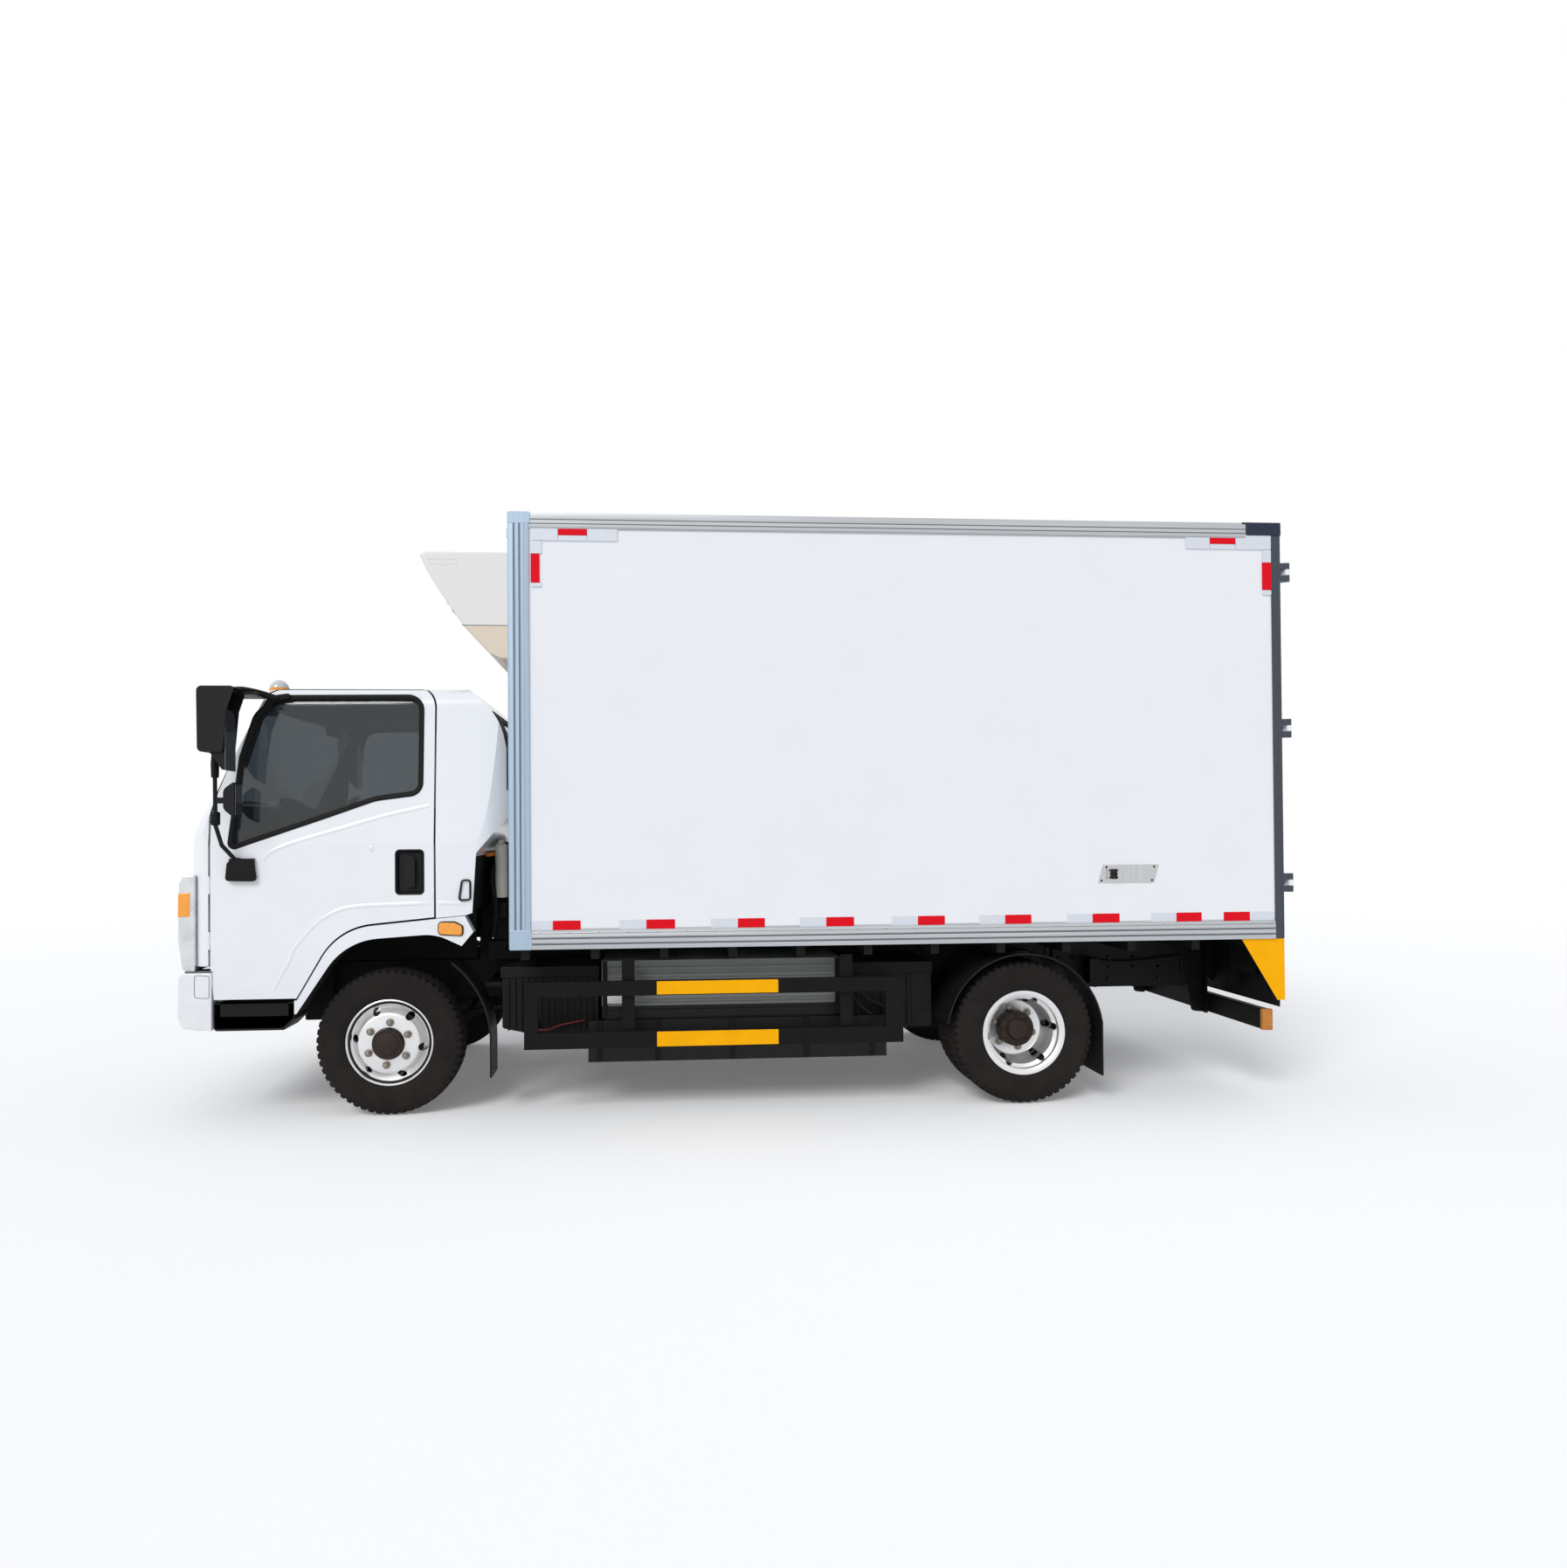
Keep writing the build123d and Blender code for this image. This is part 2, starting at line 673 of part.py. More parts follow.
FRIDGE_HALF = BOX_HALF - 345
FRIDGE_TOP_Z = ROOF_Z - 109
FRIDGE_FOOT_Z = CAB_CROWN_Z + 122
FRIDGE_REAR_X = BOX_X0 - EDGE_T
FRIDGE_FORM = [
    (FRIDGE_REAR_X, 1.0, 0),
    (BOX_X0 - 477, 1.0, 0.12),
    (BOX_X0 - 517, 0.824, 0.10),
    (BOX_X0 - 429, 0.602, 0.2),
    (BOX_X0 - 292, 0.294, 0),
    (BOX_X0 - 147, 0.024, 0.1),
    (FRIDGE_REAR_X, 0.0, 0),
]
FRIDGE_SEAM_AT = 0.315
FRIDGE_SEAM_T = 4
LOUVRES = 5
LOUVRE_AT = 0.47
LOUVRE_PITCH = 0.075
LOUVRE_DEPTH = 16
FRIDGE_FLUTE_AT = (0.88, 0.925)
FRIDGE_FLUTE_T = 5


def fridge():
    height = FRIDGE_TOP_Z - FRIDGE_FOOT_Z
    rows = [(x, FRIDGE_FOOT_Z + height * share, height * corner) for x, share, corner in FRIDGE_FORM]
    body = side_form(rows, -FRIDGE_HALF, FRIDGE_HALF)
    face = outline(rows, lambda p: Vector(p.X, -FRIDGE_HALF, p.Y))
    whole = 2 * FRIDGE_HALF
    core = extrude(offset(face, amount=-LOUVRE_DEPTH, kind=Kind.INTERSECTION), amount=whole, dir=(0, 1, 0))
    skin = extrude(offset(face, amount=-FRIDGE_SEAM_T, kind=Kind.INTERSECTION), amount=whole, dir=(0, 1, 0))
    half = FRIDGE_HALF * 0.75
    for i in range(LOUVRES):
        z = FRIDGE_FOOT_Z + height * (LOUVRE_AT + LOUVRE_PITCH * i)
        slot = block(0, FRIDGE_REAR_X, -half, half, z, z + height * LOUVRE_PITCH * 0.5)
        body -= slot - core
    z = FRIDGE_FOOT_Z + height * FRIDGE_SEAM_AT
    seam = block(0, FRIDGE_REAR_X + 1, -FRIDGE_HALF - 1, FRIDGE_HALF + 1, z, z + FRIDGE_SEAM_T)
    inside = FRIDGE_HALF - FRIDGE_SEAM_T
    waist = skin & block(0, FRIDGE_REAR_X + 1, -inside, inside, 0, ROOF_Z)
    body -= seam - waist
    low, high = FRIDGE_FLUTE_AT
    for side in (-1, 1):
        y = side * (FRIDGE_HALF - FRIDGE_FLUTE_T)
        z0 = FRIDGE_FOOT_Z + height * low
        flute = block(BOX_X0 - 470, BOX_X0 - 330, y, y + side * 10, z0, z0 + height * (high - low))
        body -= flute
    return body


def evaporator():
    x = BOX_X0 + WALL_T
    rows = [
        (x, ROOF_UNDER, 0),
        (x + 480, ROOF_UNDER, 0),
        (x + 480, ROOF_UNDER - 90, 40),
        (x + 60, ROOF_UNDER - 230, 40),
        (x, ROOF_UNDER - 230, 0),
    ]
    return side_form(rows, 495 - BOX_HALF, BOX_HALF - 495)


# Cab

CAB_REAR_X = 624
CAB_NOSE_X = -1001
SCREEN_FOOT = (-968, 1540)
SCREEN_HEAD = (-615, 2235)
CAB_PROFILE = [
    (-972, 400, 0),
    (CAB_NOSE_X, 1300, 0),
    (*SCREEN_FOOT, 250),
    (*SCREEN_HEAD, 60),
    (-480, 2276, 200),
    (-94, 2290, 0),
    (370, 2281, 300),
    (575, 2085, 350),
    (622, 1830, 700),
    (618, 1560, 60),
    (459, 1368, 30),
    (439, 1057, 0),
    (439, 400, 0),
]


def plan_rows(front, inset, rear, rear_corner):
    corner = CAB_CORNER_R - inset * 0.6
    half = CAB_HALF - inset
    return [
        (front + inset, -half, corner),
        (rear, -half, rear_corner),
        (rear, half, rear_corner),
        (front + inset, half, corner),
    ]


def cab_body(inset):
    side_face = outline(CAB_PROFILE, lambda p: Vector(p.X, -1200, p.Y))
    if inset > 0:
        side_face = offset(side_face, amount=-inset, kind=Kind.INTERSECTION)
    body = extrude(side_face, amount=2400, dir=(0, 1, 0))
    # Rounded nose and rear corners, upright
    rear = CAB_REAR_X - inset
    body &= plan_form(plan_rows(CAB_NOSE_X, inset, rear, CAB_REAR_CORNER_R - inset), 300, 2400)
    # Rounded windscreen pillars, along the slope of the screen
    foot_x, foot_z = SCREEN_FOOT
    slope = (SCREEN_HEAD[0] - foot_x) / (SCREEN_HEAD[1] - foot_z)
    low = 300
    start = foot_x - slope * (foot_z - low)
    pillar_inset = inset * math.sqrt(1 + slope * slope)
    rows = plan_rows(start + pillar_inset - inset, inset, CAB_REAR_X + 1800, 0)
    face = outline(rows, lambda p: Vector(p.X, p.Y, low))
    run = Vector(slope, 0, 1) * 2100
    body &= extrude(face, amount=run.length, dir=run.normalized())
    # The sides lean in above the belt line, so each leaning face starts below it
    lean = (CAB_HALF - CAB_TOP_HALF) / (CAB_TOP_Z - CAB_BELT_Z)
    below = CAB_BELT_Z - 600
    wide = CAB_HALF + 600 * lean - inset
    half = CAB_TOP_HALF - inset
    high = CAB_TOP_Z - inset
    crown = [
        (-wide, 300, 0),
        (wide, 300, 0),
        (wide, below, 0),
        (half, high, ROOF_CORNER_R),
        (0, CAB_CROWN_Z - inset, 0),
        (-half, high, ROOF_CORNER_R),
        (-wide, below, 0),
    ]
    body &= front_form(crown, -1200, 900)
    return body


DOOR_ROWS = [
    (-865, SILL_Z, 0),
    (DOOR_FRONT_X, 800, 0),
    (DOOR_FRONT_X, 1560, 150),
    (-850, 1690, 0),
    (-676, 2165, 150),
    (-560, 2243, 0),
    (240, 2243, 110),
    (243, 1037, 0),
    (-245, 990, 330),
    (-455, SILL_Z, 0),
]
WINDOW_ROWS = [
    (-785, 1402, 20),
    (-738, 1870, 0),
    (-672, 2090, 110),
    (-575, 2185, 60),
    (172, 2190, 70),
    (172, 1685, 60),
    (-60, 1655, 300),
    (-310, 1566, 0),
]
ARCH_ROWS = [
    (-455, 300, 0),
    (-455, SILL_Z, 0),
    (-245, 990, 330),
    (405, 1045, 0),
    (439, 1057, 0),
    (700, 1057, 0),
    (700, 300, 0),
]
FLARE_LOW = [
    (-452, 300, 0),
    (-452, 549, 0),
    (-205, 920, 330),
    (250, 950, 250),
    (385, 886, 0),
    (445, 958, 0),
    (700, 958, 0),
    (700, 300, 0),
]
FLARE_PROUD = 8
FLARE_ROWS = [
    (-462, 549, 0),
    (-462, SILL_Z - 10, 0),
    (-248, 986, 330),
    (402, 1042, 0),
    (445, 958, 0),
    (385, 886, 0),
    (250, 950, 250),
    (-205, 920, 330),
    (-452, 549, 0),
]


def grown(rows, amount):
    face = outline(rows, lambda p: Vector(p.X, -1200, p.Y))
    return offset(face, amount=amount, kind=Kind.INTERSECTION)


def door_prism(amount, y0, y1):
    if amount == 0:
        return side_form(DOOR_ROWS, y0, y1)
    face = grown(DOOR_ROWS, amount)
    return Pos(0, 1200 + y0, 0) * extrude(face, amount=y1 - y0, dir=(0, 1, 0))


OUTER = cab_body(0)
INNER = cab_body(CAB_SKIN)
GLASS_LAYER = cab_body(GLASS_SET) - cab_body(GLASS_SET + GLASS_T)
SILL_IN = CAB_HALF - CAB_SKIN - DOOR_BACK_GAP
GLASS_EDGE = cab_body(CAB_SKIN + DOOR_BACK_GAP)

ROOM_ROWS = [
    (-1100, 985, 0),
    (-925, 985, 0),
    (-760, 815, 0),
    (-490, 815, 0),
    (-430, 1105, 0),
    (800, 1105, 0),
    (800, 2400, 0),
    (-1100, 2400, 0),
]
UNDER_ROWS = [
    (-945, 300, 0),
    (-945, 940, 0),
    (-780, 770, 0),
    (-520, 770, 0),
    (-468, 1062, 0),
    (800, 1062, 0),
    (800, 300, 0),
]
FRONT_CUT_ROWS = [
    (-1100, 300, 0),
    (-1100, CAB_FRONT_Z, 0),
    (DOOR_FRONT_X, CAB_FRONT_Z, 0),
    (-865, SILL_Z, 0),
    (-865, 300, 0),
]
SCREEN_Z = (1625, 2150)
SCREEN_HALF = CAB_HALF - 185
SCREEN_FLARE = 45
SCREEN_CLEAR = 8
REAR_WINDOW_HALF = CAB_HALF - 250
REAR_WINDOW_Z = (1730, 2080)
LAMP_Z = (809, 1264)
LAMP_IN = CAB_HALF - 240
LAMP_X = -955
GRILLE_HALF = CAB_HALF - 340
GRILLE_Z = (850, 1230)
GRILLE_DEPTH = 30


def lamp_zone():
    return block(-1100, LAMP_X, -CAB_HALF - 70, -LAMP_IN, LAMP_Z[0], LAMP_Z[1])


def grille_zone():
    return block(-1100, -965, -GRILLE_HALF, GRILLE_HALF, GRILLE_Z[0], GRILLE_Z[1])


def screen_zone(margin=0):
    low, high = SCREEN_Z
    foot = SCREEN_HALF + SCREEN_FLARE + margin
    head = SCREEN_HALF + margin
    rows = [
        (-foot, low - margin, 60),
        (foot, low - margin, 60),
        (head, high + margin, 80),
        (-head, high + margin, 80),
    ]
    return front_form(rows, -1200, -500)


def rear_window_zone():
    low, high = REAR_WINDOW_Z
    rows = [
        (-REAR_WINDOW_HALF, low, 60),
        (REAR_WINDOW_HALF, low, 60),
        (REAR_WINDOW_HALF, high, 60),
        (-REAR_WINDOW_HALF, high, 60),
    ]
    return front_form(rows, 400, CAB_REAR_X + 100)


def door_hinges(shape, on_door):
    for z in DOOR_HINGE_Z:
        cuts = ((z - 45, z - 15), (z + 15, z + 45))
        mine = ((z - 14.5, z + 14.5),) if on_door else cuts
        theirs = cuts if on_door else ((z - 15, z + 15),)
        for low, high in theirs:
            shape -= rod_z(DOOR_PIN_X, -CAB_HALF, low - 0.5, high + 0.5, DOOR_PIN_R + 1)
        for low, high in mine:
            shape += rod_z(DOOR_PIN_X, -CAB_HALF, low, high, DOOR_PIN_R)
            reach = 8 if on_door else -8
            y = -CAB_HALF
            shape += block(DOOR_PIN_X, DOOR_PIN_X + reach, y, y + DOOR_PIN_R, low, high)
    return shape


def cab_shell():
    shell = OUTER - (INNER & side_form(ROOM_ROWS, -1200, 1200))
    shell -= side_form(UNDER_ROWS, -TUNNEL_HALF, TUNNEL_HALF)
    shell -= side_form(FLARE_LOW, -1200, 1200)
    shell -= side_form(FRONT_CUT_ROWS, -1200, 1200)
    for y0, y1 in ((-1200, -SILL_IN), (SILL_IN, 1200)):
        shell -= side_form(ARCH_ROWS, y0, y1)
    edge = DOOR_IN - DOOR_GAP
    for y0, y1 in ((-1200, -edge), (edge, 1200)):
        shell -= door_prism(DOOR_GAP, y0, y1) - GLASS_EDGE
    # The step well lies under the floor, inside the sill panel
    shell -= block(-1000, -450, -1200, 1200, 300, SILL_Z)
    shell -= screen_zone() & block(-1200, -500, -1200, 1200, 1000, 2300)
    shell -= rear_window_zone()
    shell -= both_sides(lamp_zone())
    shell -= grille_zone()
    left = door_hinges(shell, False)
    return other_side(door_hinges(other_side(left), False))


def cab_lugs():
    group = None
    for y0 in (FRAME_HALF + 5, FRAME_HALF - RAIL_W - 5 - TILT_LUG_T):
        lug = rod_y(TILT_X, y0, y0 + TILT_LUG_T, TILT_Z, TILT_EYE_R)
        lug += block(TILT_X - TILT_EYE_R, TILT_X + TILT_EYE_R, y0, y0 + TILT_LUG_T, TILT_Z, TILT_Z + 100)
        group = lug if group is None else group + lug
    y_low = FRAME_HALF - RAIL_W - 5 - TILT_LUG_T
    group += rod_y(TILT_X, y_low, FRAME_HALF + 5 + TILT_LUG_T, TILT_Z, TILT_PIN_R)
    return both_sides(group)


def door():
    middle = cab_body(DOOR_FLANGE_T)
    flange = (OUTER - middle) & door_prism(0, -1200, -DOOR_IN)
    box = (middle - INNER) & door_prism(-DOOR_STEP, -1200, -DOOR_IN)
    body = flange + box
    body -= screen_zone(SCREEN_CLEAR)
    window = offset(outline(WINDOW_ROWS, lambda p: Vector(p.X, -1200, p.Y)), amount=SEAL_GAP)
    body -= extrude(window, amount=1200, dir=(0, 1, 0))
    body -= side_form(HANDLE_ROWS, -CAB_HALF - 10, -CAB_HALF + 28)
    return door_hinges(body, True)


HANDLE_ROWS = [
    (49, 1158, 20),
    (190, 1158, 20),
    (190, 1386, 20),
    (49, 1386, 20),
]


def door_handle():
    back = side_form(HANDLE_ROWS, -CAB_HALF + 20, -CAB_HALF + 28)
    grip = block(100, 140, -CAB_HALF - 4, -CAB_HALF + 20, 1200, 1345)
    return back + grip


def door_glass():
    return GLASS_LAYER & side_form(WINDOW_ROWS, -1200, -500)


MIRROR_OUT = 170
MIRROR_W = 160
MIRROR_HOOD = [
    (-846, 2205, 25),
    (-664, 2205, 15),
    (-702, 2090, 0),
    (-722, 1880, 15),
    (-842, 1880, 25),
]
MIRROR_HEAD = [
    (-716, 2120, 8),
    (-792, 2000, 90),
    (-796, 1890, 70),
    (-716, 1775, 8),
]
MIRROR_LOW = [
    (-704, 1740, 6),
    (-758, 1700, 40),
    (-758, 1600, 40),
    (-704, 1555, 6),
]
MIRROR_TUBE = 11


def mirror_set():
    middle = -CAB_HALF - MIRROR_OUT
    outer = middle - MIRROR_W / 2
    inner = middle + MIRROR_W / 2
    hood = side_form(MIRROR_HOOD, outer, inner)
    back = [(-800, 1900, 0), (-800, 2185, 0)]
    hood -= side_form([(x + 26, z, 0) for x, z, radius in MIRROR_HOOD[1:4]] + back, outer + 8, inner - 8)
    head = side_form(MIRROR_HEAD, outer + 14, inner - 14)
    low = side_form(MIRROR_LOW, middle + 20, inner + 40)
    stem_y = inner - 26
    stem = [
        Vector(-812, stem_y, 1900),
        Vector(-808, stem_y, 1520),
        Vector(-790, stem_y + 30, 1420),
        Vector(-752, -CAB_HALF - 14, 1345),
        Vector(-744, -CAB_HALF - 11, 1300),
    ]
    start = Plane(origin=stem[0], z_dir=stem[1] - stem[0])
    tube = sweep(start * RegularPolygon(MIRROR_TUBE, 8), path=Polyline(*stem), transition=Transition.RIGHT)
    clamp = block(-800, -704, stem_y - 14, stem_y + 14, 1630, 1660)
    foot = block(-781, -659, -CAB_HALF - 22, -CAB_HALF, 1240, 1350)
    bridge = block(-800, -716, stem_y - 12, stem_y + 12, 1930, 1960)
    top_arm = block(-812, -610, inner - 40, -CAB_HALF + 55, 2176, 2192)
    return hood + head + low + tube + clamp + foot + bridge + (top_arm - OUTER)


def grille():
    low, high = GRILLE_Z
    panel = OUTER & grille_zone()
    rows = 6
    pitch = (high - low - 60) / rows
    for i in range(rows):
        z = low + 40 + i * pitch
        panel -= block(-1100, -978, -GRILLE_HALF + 50, GRILLE_HALF - 50, z, z + pitch * 0.5)
    return panel


LAMP_SPLIT_Z = 1050
LAMP_SPLIT_T = 3


def headlamp():
    # Turn signal above, main lamp below, each in one lens
    lens = (OUTER - INNER) & lamp_zone()
    groove = block(-1100, -960, -CAB_HALF - 70, -LAMP_IN, LAMP_SPLIT_Z, LAMP_SPLIT_Z + LAMP_SPLIT_T)
    return lens - (groove - cab_body(4))


def screen_glass():
    return GLASS_LAYER & screen_zone()


def rear_glass():
    return GLASS_LAYER & rear_window_zone()


def flares():
    body = side_form(FLARE_ROWS, -CAB_HALF - FLARE_PROUD, -SILL_IN)
    body -= door_prism(DOOR_GAP, -1200, -SILL_IN + 1)
    return both_sides(body)


STEP_ROWS = [
    (-865, 467, 15),
    (-518, 467, 0),
    (-465, 520, 0),
    (-465, SILL_Z - 18, 0),
    (-865, SILL_Z - 18, 0),
]


def steps():
    step = side_form(STEP_ROWS, -CAB_HALF + 5, 220 - CAB_HALF)
    step -= block(-835, -495, -CAB_HALF - 5, 160 - CAB_HALF, 540, SILL_Z)
    return both_sides(step)


SEAT_Y = CAB_HALF - 420
SEAT_HALF = 260
MIDDLE_SEAT_HALF = SEAT_Y - SEAT_HALF - 100


def seat(y, half):
    rows = [
        (-330, 1150, 30),
        (-330, 1270, 50),
        (150, 1240, 20),
        (330, 1850, 40),
        (410, 1840, 40),
        (290, 1150, 20),
    ]
    body = side_form(rows, y - half, y + half)
    return body


def seat_base(y, half):
    return block(-290, 270, y - half + 40, y + half - 40, 1105, 1150)


def dashboard():
    rows = [
        (-905, 1200, 30),
        (-880, 1560, 40),
        (-640, 1540, 60),
        (-600, 1380, 60),
        (-720, 1200, 30),
    ]
    body = side_form(rows, 80 - CAB_HALF, CAB_HALF - 80)
    return (body & cab_body(CAB_SKIN + DOOR_BACK_GAP)) - steering_wheel()


STEERING_R = 200
STEERING_GRIP_R = 15


def steering_wheel():
    centre = Vector(-480, -SEAT_Y, 1560)
    wheel_plane = Plane(origin=centre, z_dir=(0.5, 0, 0.87))
    grip = [
        (STEERING_GRIP_R * math.sin(turn), STEERING_R + STEERING_GRIP_R * math.cos(turn))
        for turn in (math.radians(60 * k) for k in range(6))
    ]
    ring = faceted(grip, lambda a, b, c: wheel_plane.from_local_coords(Vector(a, c, b)), 24)
    hub = wheel_plane * Cylinder(55, 40)
    spoke = wheel_plane * Box(390, 40, 16)
    spoke += wheel_plane * Pos(0, -95, 0) * Box(40, 190, 16)
    start = centre - Vector(0.5, 0, 0.87) * 20
    column = Plane(origin=start, z_dir=(-0.5, 0, -0.87)) * Pos(0, 0, 100) * Cylinder(28, 240)
    return ring + hub + spoke + column


# Front bumper

BUMPER_ROWS = [
    (OVERALL_FRONT, -CAB_HALF, 140),
    (-890, -CAB_HALF, 0),
    (-890, CAB_HALF, 0),
    (OVERALL_FRONT, CAB_HALF, 140),
]
BUMPER_T = 45
BUMPER_Z = (472, 754)


def bumper():
    inner = [
        (OVERALL_FRONT + BUMPER_T, -CAB_HALF + BUMPER_T, 100),
        (-800, -CAB_HALF + BUMPER_T, 0),
        (-800, CAB_HALF - BUMPER_T, 0),
        (OVERALL_FRONT + BUMPER_T, CAB_HALF - BUMPER_T, 100),
    ]
    low, high = BUMPER_Z
    body = plan_form(BUMPER_ROWS, low, high) - plan_form(inner, low - 1, high + 1)
    body -= block(OVERALL_FRONT - 5, OVERALL_FRONT + 20, -420, 420, 540, 660)
    stay = block(OVERALL_FRONT + BUMPER_T, FRAME_X0, -FRAME_HALF, -FRAME_HALF + RAIL_W, 600, 700)
    body += both_sides(stay)
    return body


# Guards, cases and mudguards

GUARD_X = (711, WHEELBASE - 666)
GUARD_Y = BOX_HALF - 40
GUARD_T = 30
GUARD_Z = (353, 438, 623, 699)
GUARD_POST_W = 66


def side_guards():
    x0, x1 = GUARD_X
    z0, z1, z2, z3 = GUARD_Z
    guard = block(x0, x1, -GUARD_Y, GUARD_T - GUARD_Y, z0, z3)
    guard -= block(x0 + 71, x1 - 93, -GUARD_Y - 1, GUARD_T - GUARD_Y + 1, z1, z2)
    for x in (x0 + 502, x1 - 331):
        guard += block(x, x + GUARD_POST_W, GUARD_T - GUARD_Y, 2 * GUARD_T - GUARD_Y, z0, BEARER_Z)
    return both_sides(guard)


CASE_X = (1103, WHEELBASE - 975)
CASE_Z = (482, 786)
CASE_OUT = 900
CASE_RIBS = 7
CASE_RIB_T = 8
TRAY_X = (1030, WHEELBASE - 723)
TRAY_Z = (249, 470)


def battery_cases():
    x0, x1 = CASE_X
    z0, z1 = CASE_Z
    back = -FRAME_HALF - 20
    case = block(x0, x1, -CASE_OUT, back, z0, z1)
    pitch = (z1 - z0 - 40) / CASE_RIBS
    for i in range(CASE_RIBS):
        z = z0 + 26 + i * pitch
        case += block(x0 + 40, x1 - 40, -CASE_OUT - CASE_RIB_T, -CASE_OUT, z, z + pitch * 0.4)
    tray = block(TRAY_X[0], TRAY_X[1], -CASE_OUT, back, TRAY_Z[0], TRAY_Z[1])
    hanger = block(x0 + 17, x1 - 15, 20 - CASE_OUT, -FRAME_HALF, TRAY_Z[1], z0)
    bracket = block(x0 + 47, x0 + 127, back, -FRAME_HALF, 600, 700)
    bracket += block(x1 - 125, x1 - 45, back, -FRAME_HALF, 600, 700)
    return both_sides(case + tray + hanger + bracket)


def arc_band(x, z, r0, r1, a0, a1, y0, y1):
    def at(radius, degrees):
        angle = math.radians(degrees)
        return Vector(x + radius * math.cos(angle), y0, z + radius * math.sin(angle))
    middle = (a0 + a1) / 2
    edges = [
        Edge.make_three_point_arc(at(r0, a0), at(r0, middle), at(r0, a1)),
        Edge.make_line(at(r0, a1), at(r1, a1)),
        Edge.make_three_point_arc(at(r1, a1), at(r1, middle), at(r1, a0)),
        Edge.make_line(at(r1, a0), at(r0, a0)),
    ]
    return extrude(Face(Wire(edges)), amount=y1 - y0, dir=(0, 1, 0))


def mudguards():
    front = arc_band(0, AXLE_Z, 520, 530, 0, 52, -945, -740)
    front += block(520, 530, -945, -740, 190, AXLE_Z)
    front += block(470, 560, -760, -FRAME_HALF, 640, 664)
    rear = arc_band(WHEELBASE, AXLE_Z, 420, 428, 8, 172, -BEARER_HALF, -600)
    rear += block(WHEELBASE - 40, WHEELBASE + 40, -1000, -640, AXLE_Z + 424, BEARER_Z)
    flap_x = WHEELBASE + 418
    rear += block(flap_x, flap_x + 8, -BEARER_HALF, -600, 146, AXLE_Z + 60)
    return both_sides(front + rear)


UNDERRUN_X = (BOX_X1 - 74, BOX_X1 - 18)
UNDERRUN_Z = (365, 476)
UNDERRUN_HALF = BOX_HALF - 95
SIDE_PLATE_Y = BOX_HALF - 35


def underrun():
    x0, x1 = UNDERRUN_X
    bar = block(x0, x1, -UNDERRUN_HALF, UNDERRUN_HALF, UNDERRUN_Z[0], UNDERRUN_Z[1])
    for side in (-1, 1):
        y = side * 560
        bar += block(x0 - 40, x0, y - 30, y + 30, 400, BEARER_Z)
    plate = side_form([
        (BOX_X1 - 234, FLOOR_Z0, 0),
        (BOX_X1 - 1, FLOOR_Z0, 0),
        (BOX_X1 - 1, 545, 0),
        (BOX_X1 - 44, 545, 0),
    ], -SIDE_PLATE_Y, 10 - SIDE_PLATE_Y)
    plate += block(x0, x1, 10 - SIDE_PLATE_Y, -UNDERRUN_HALF, 700, FLOOR_Z0)
    return bar + both_sides(plate)


LAMP_BOARD_Z = (640, 740)


def lamp_bars():
    low, high = LAMP_BOARD_Z
    x = BOX_X1 - 18
    lamp = block(x, x + 34, 135 - BOX_HALF, 395 - BOX_HALF, low, high)
    lamp += block(x - 56, x, 155 - BOX_HALF, 375 - BOX_HALF, low + 20, BEARER_Z + 30)
    return both_sides(lamp)


def box_lamps():
    wide = BOX_HALF + EDGE_T
    top = ROOF_Z + EDGE_T
    nose = BOX_X0 - EDGE_T
    front = block(nose - 18, nose, 20 - wide, 60 - wide, top - 117, top - 77)
    rear = block(BOX_X1, BOX_X1 + 18, 20 - wide, 60 - wide, top - 67, top - 32)
    return both_sides(front + rear)


def holdbacks():
    wide = BOX_HALF
    pad = side_form([
        (3743, 1183, 0),
        (4050, 1183, 0),
        (4079, 1280, 0),
        (3772, 1280, 0),
    ], -wide - 3, -wide)
    hook = block(3791, 3858, -wide - 12, -wide - 3, 1200, 1262)
    return both_sides(pad + hook)


TANK_X = 582
TANK_R = 30
TANK_Z = (1108, 1420)


def cab_support():
    x = 410
    inner = RAIL_W - FRAME_HALF
    post = block(x - 30, x + 30, -FRAME_HALF, inner, RAIL_TOP, 1000)
    group = both_sides(post)
    group += block(x - 30, x + 20, -FRAME_HALF, FRAME_HALF, 1000, 1062 - RUBBER_GAP)
    shelf = TANK_Z[0]
    tank_y = -FRAME_HALF - 225
    group += Pos(TANK_X, tank_y, shelf) * extrude(RegularPolygon(TANK_R, 16), amount=TANK_Z[1] - shelf)
    group += block(480, TANK_X + 32, tank_y - 20, 10 - FRAME_HALF, shelf - 28, shelf)
    group += block(480, 520, -FRAME_HALF - 10, inner, 960, shelf)
    group += block(x, 520, -FRAME_HALF, inner, 960, 1000)
    return group


def cab_lamps():
    y = 260 - CAB_HALF
    dome = Pos(-580, y, 2285) * extrude(RegularPolygon(44, 16), amount=30)
    dome += Pos(-580, y, 2315) * extrude(RegularPolygon(34, 16), amount=18)
    lamp = dome - OUTER
    proud = -CAB_HALF - FLARE_PROUD
    marker = block(285, 375, proud - 12, proud, 955, 1005)
    return both_sides(lamp + marker)


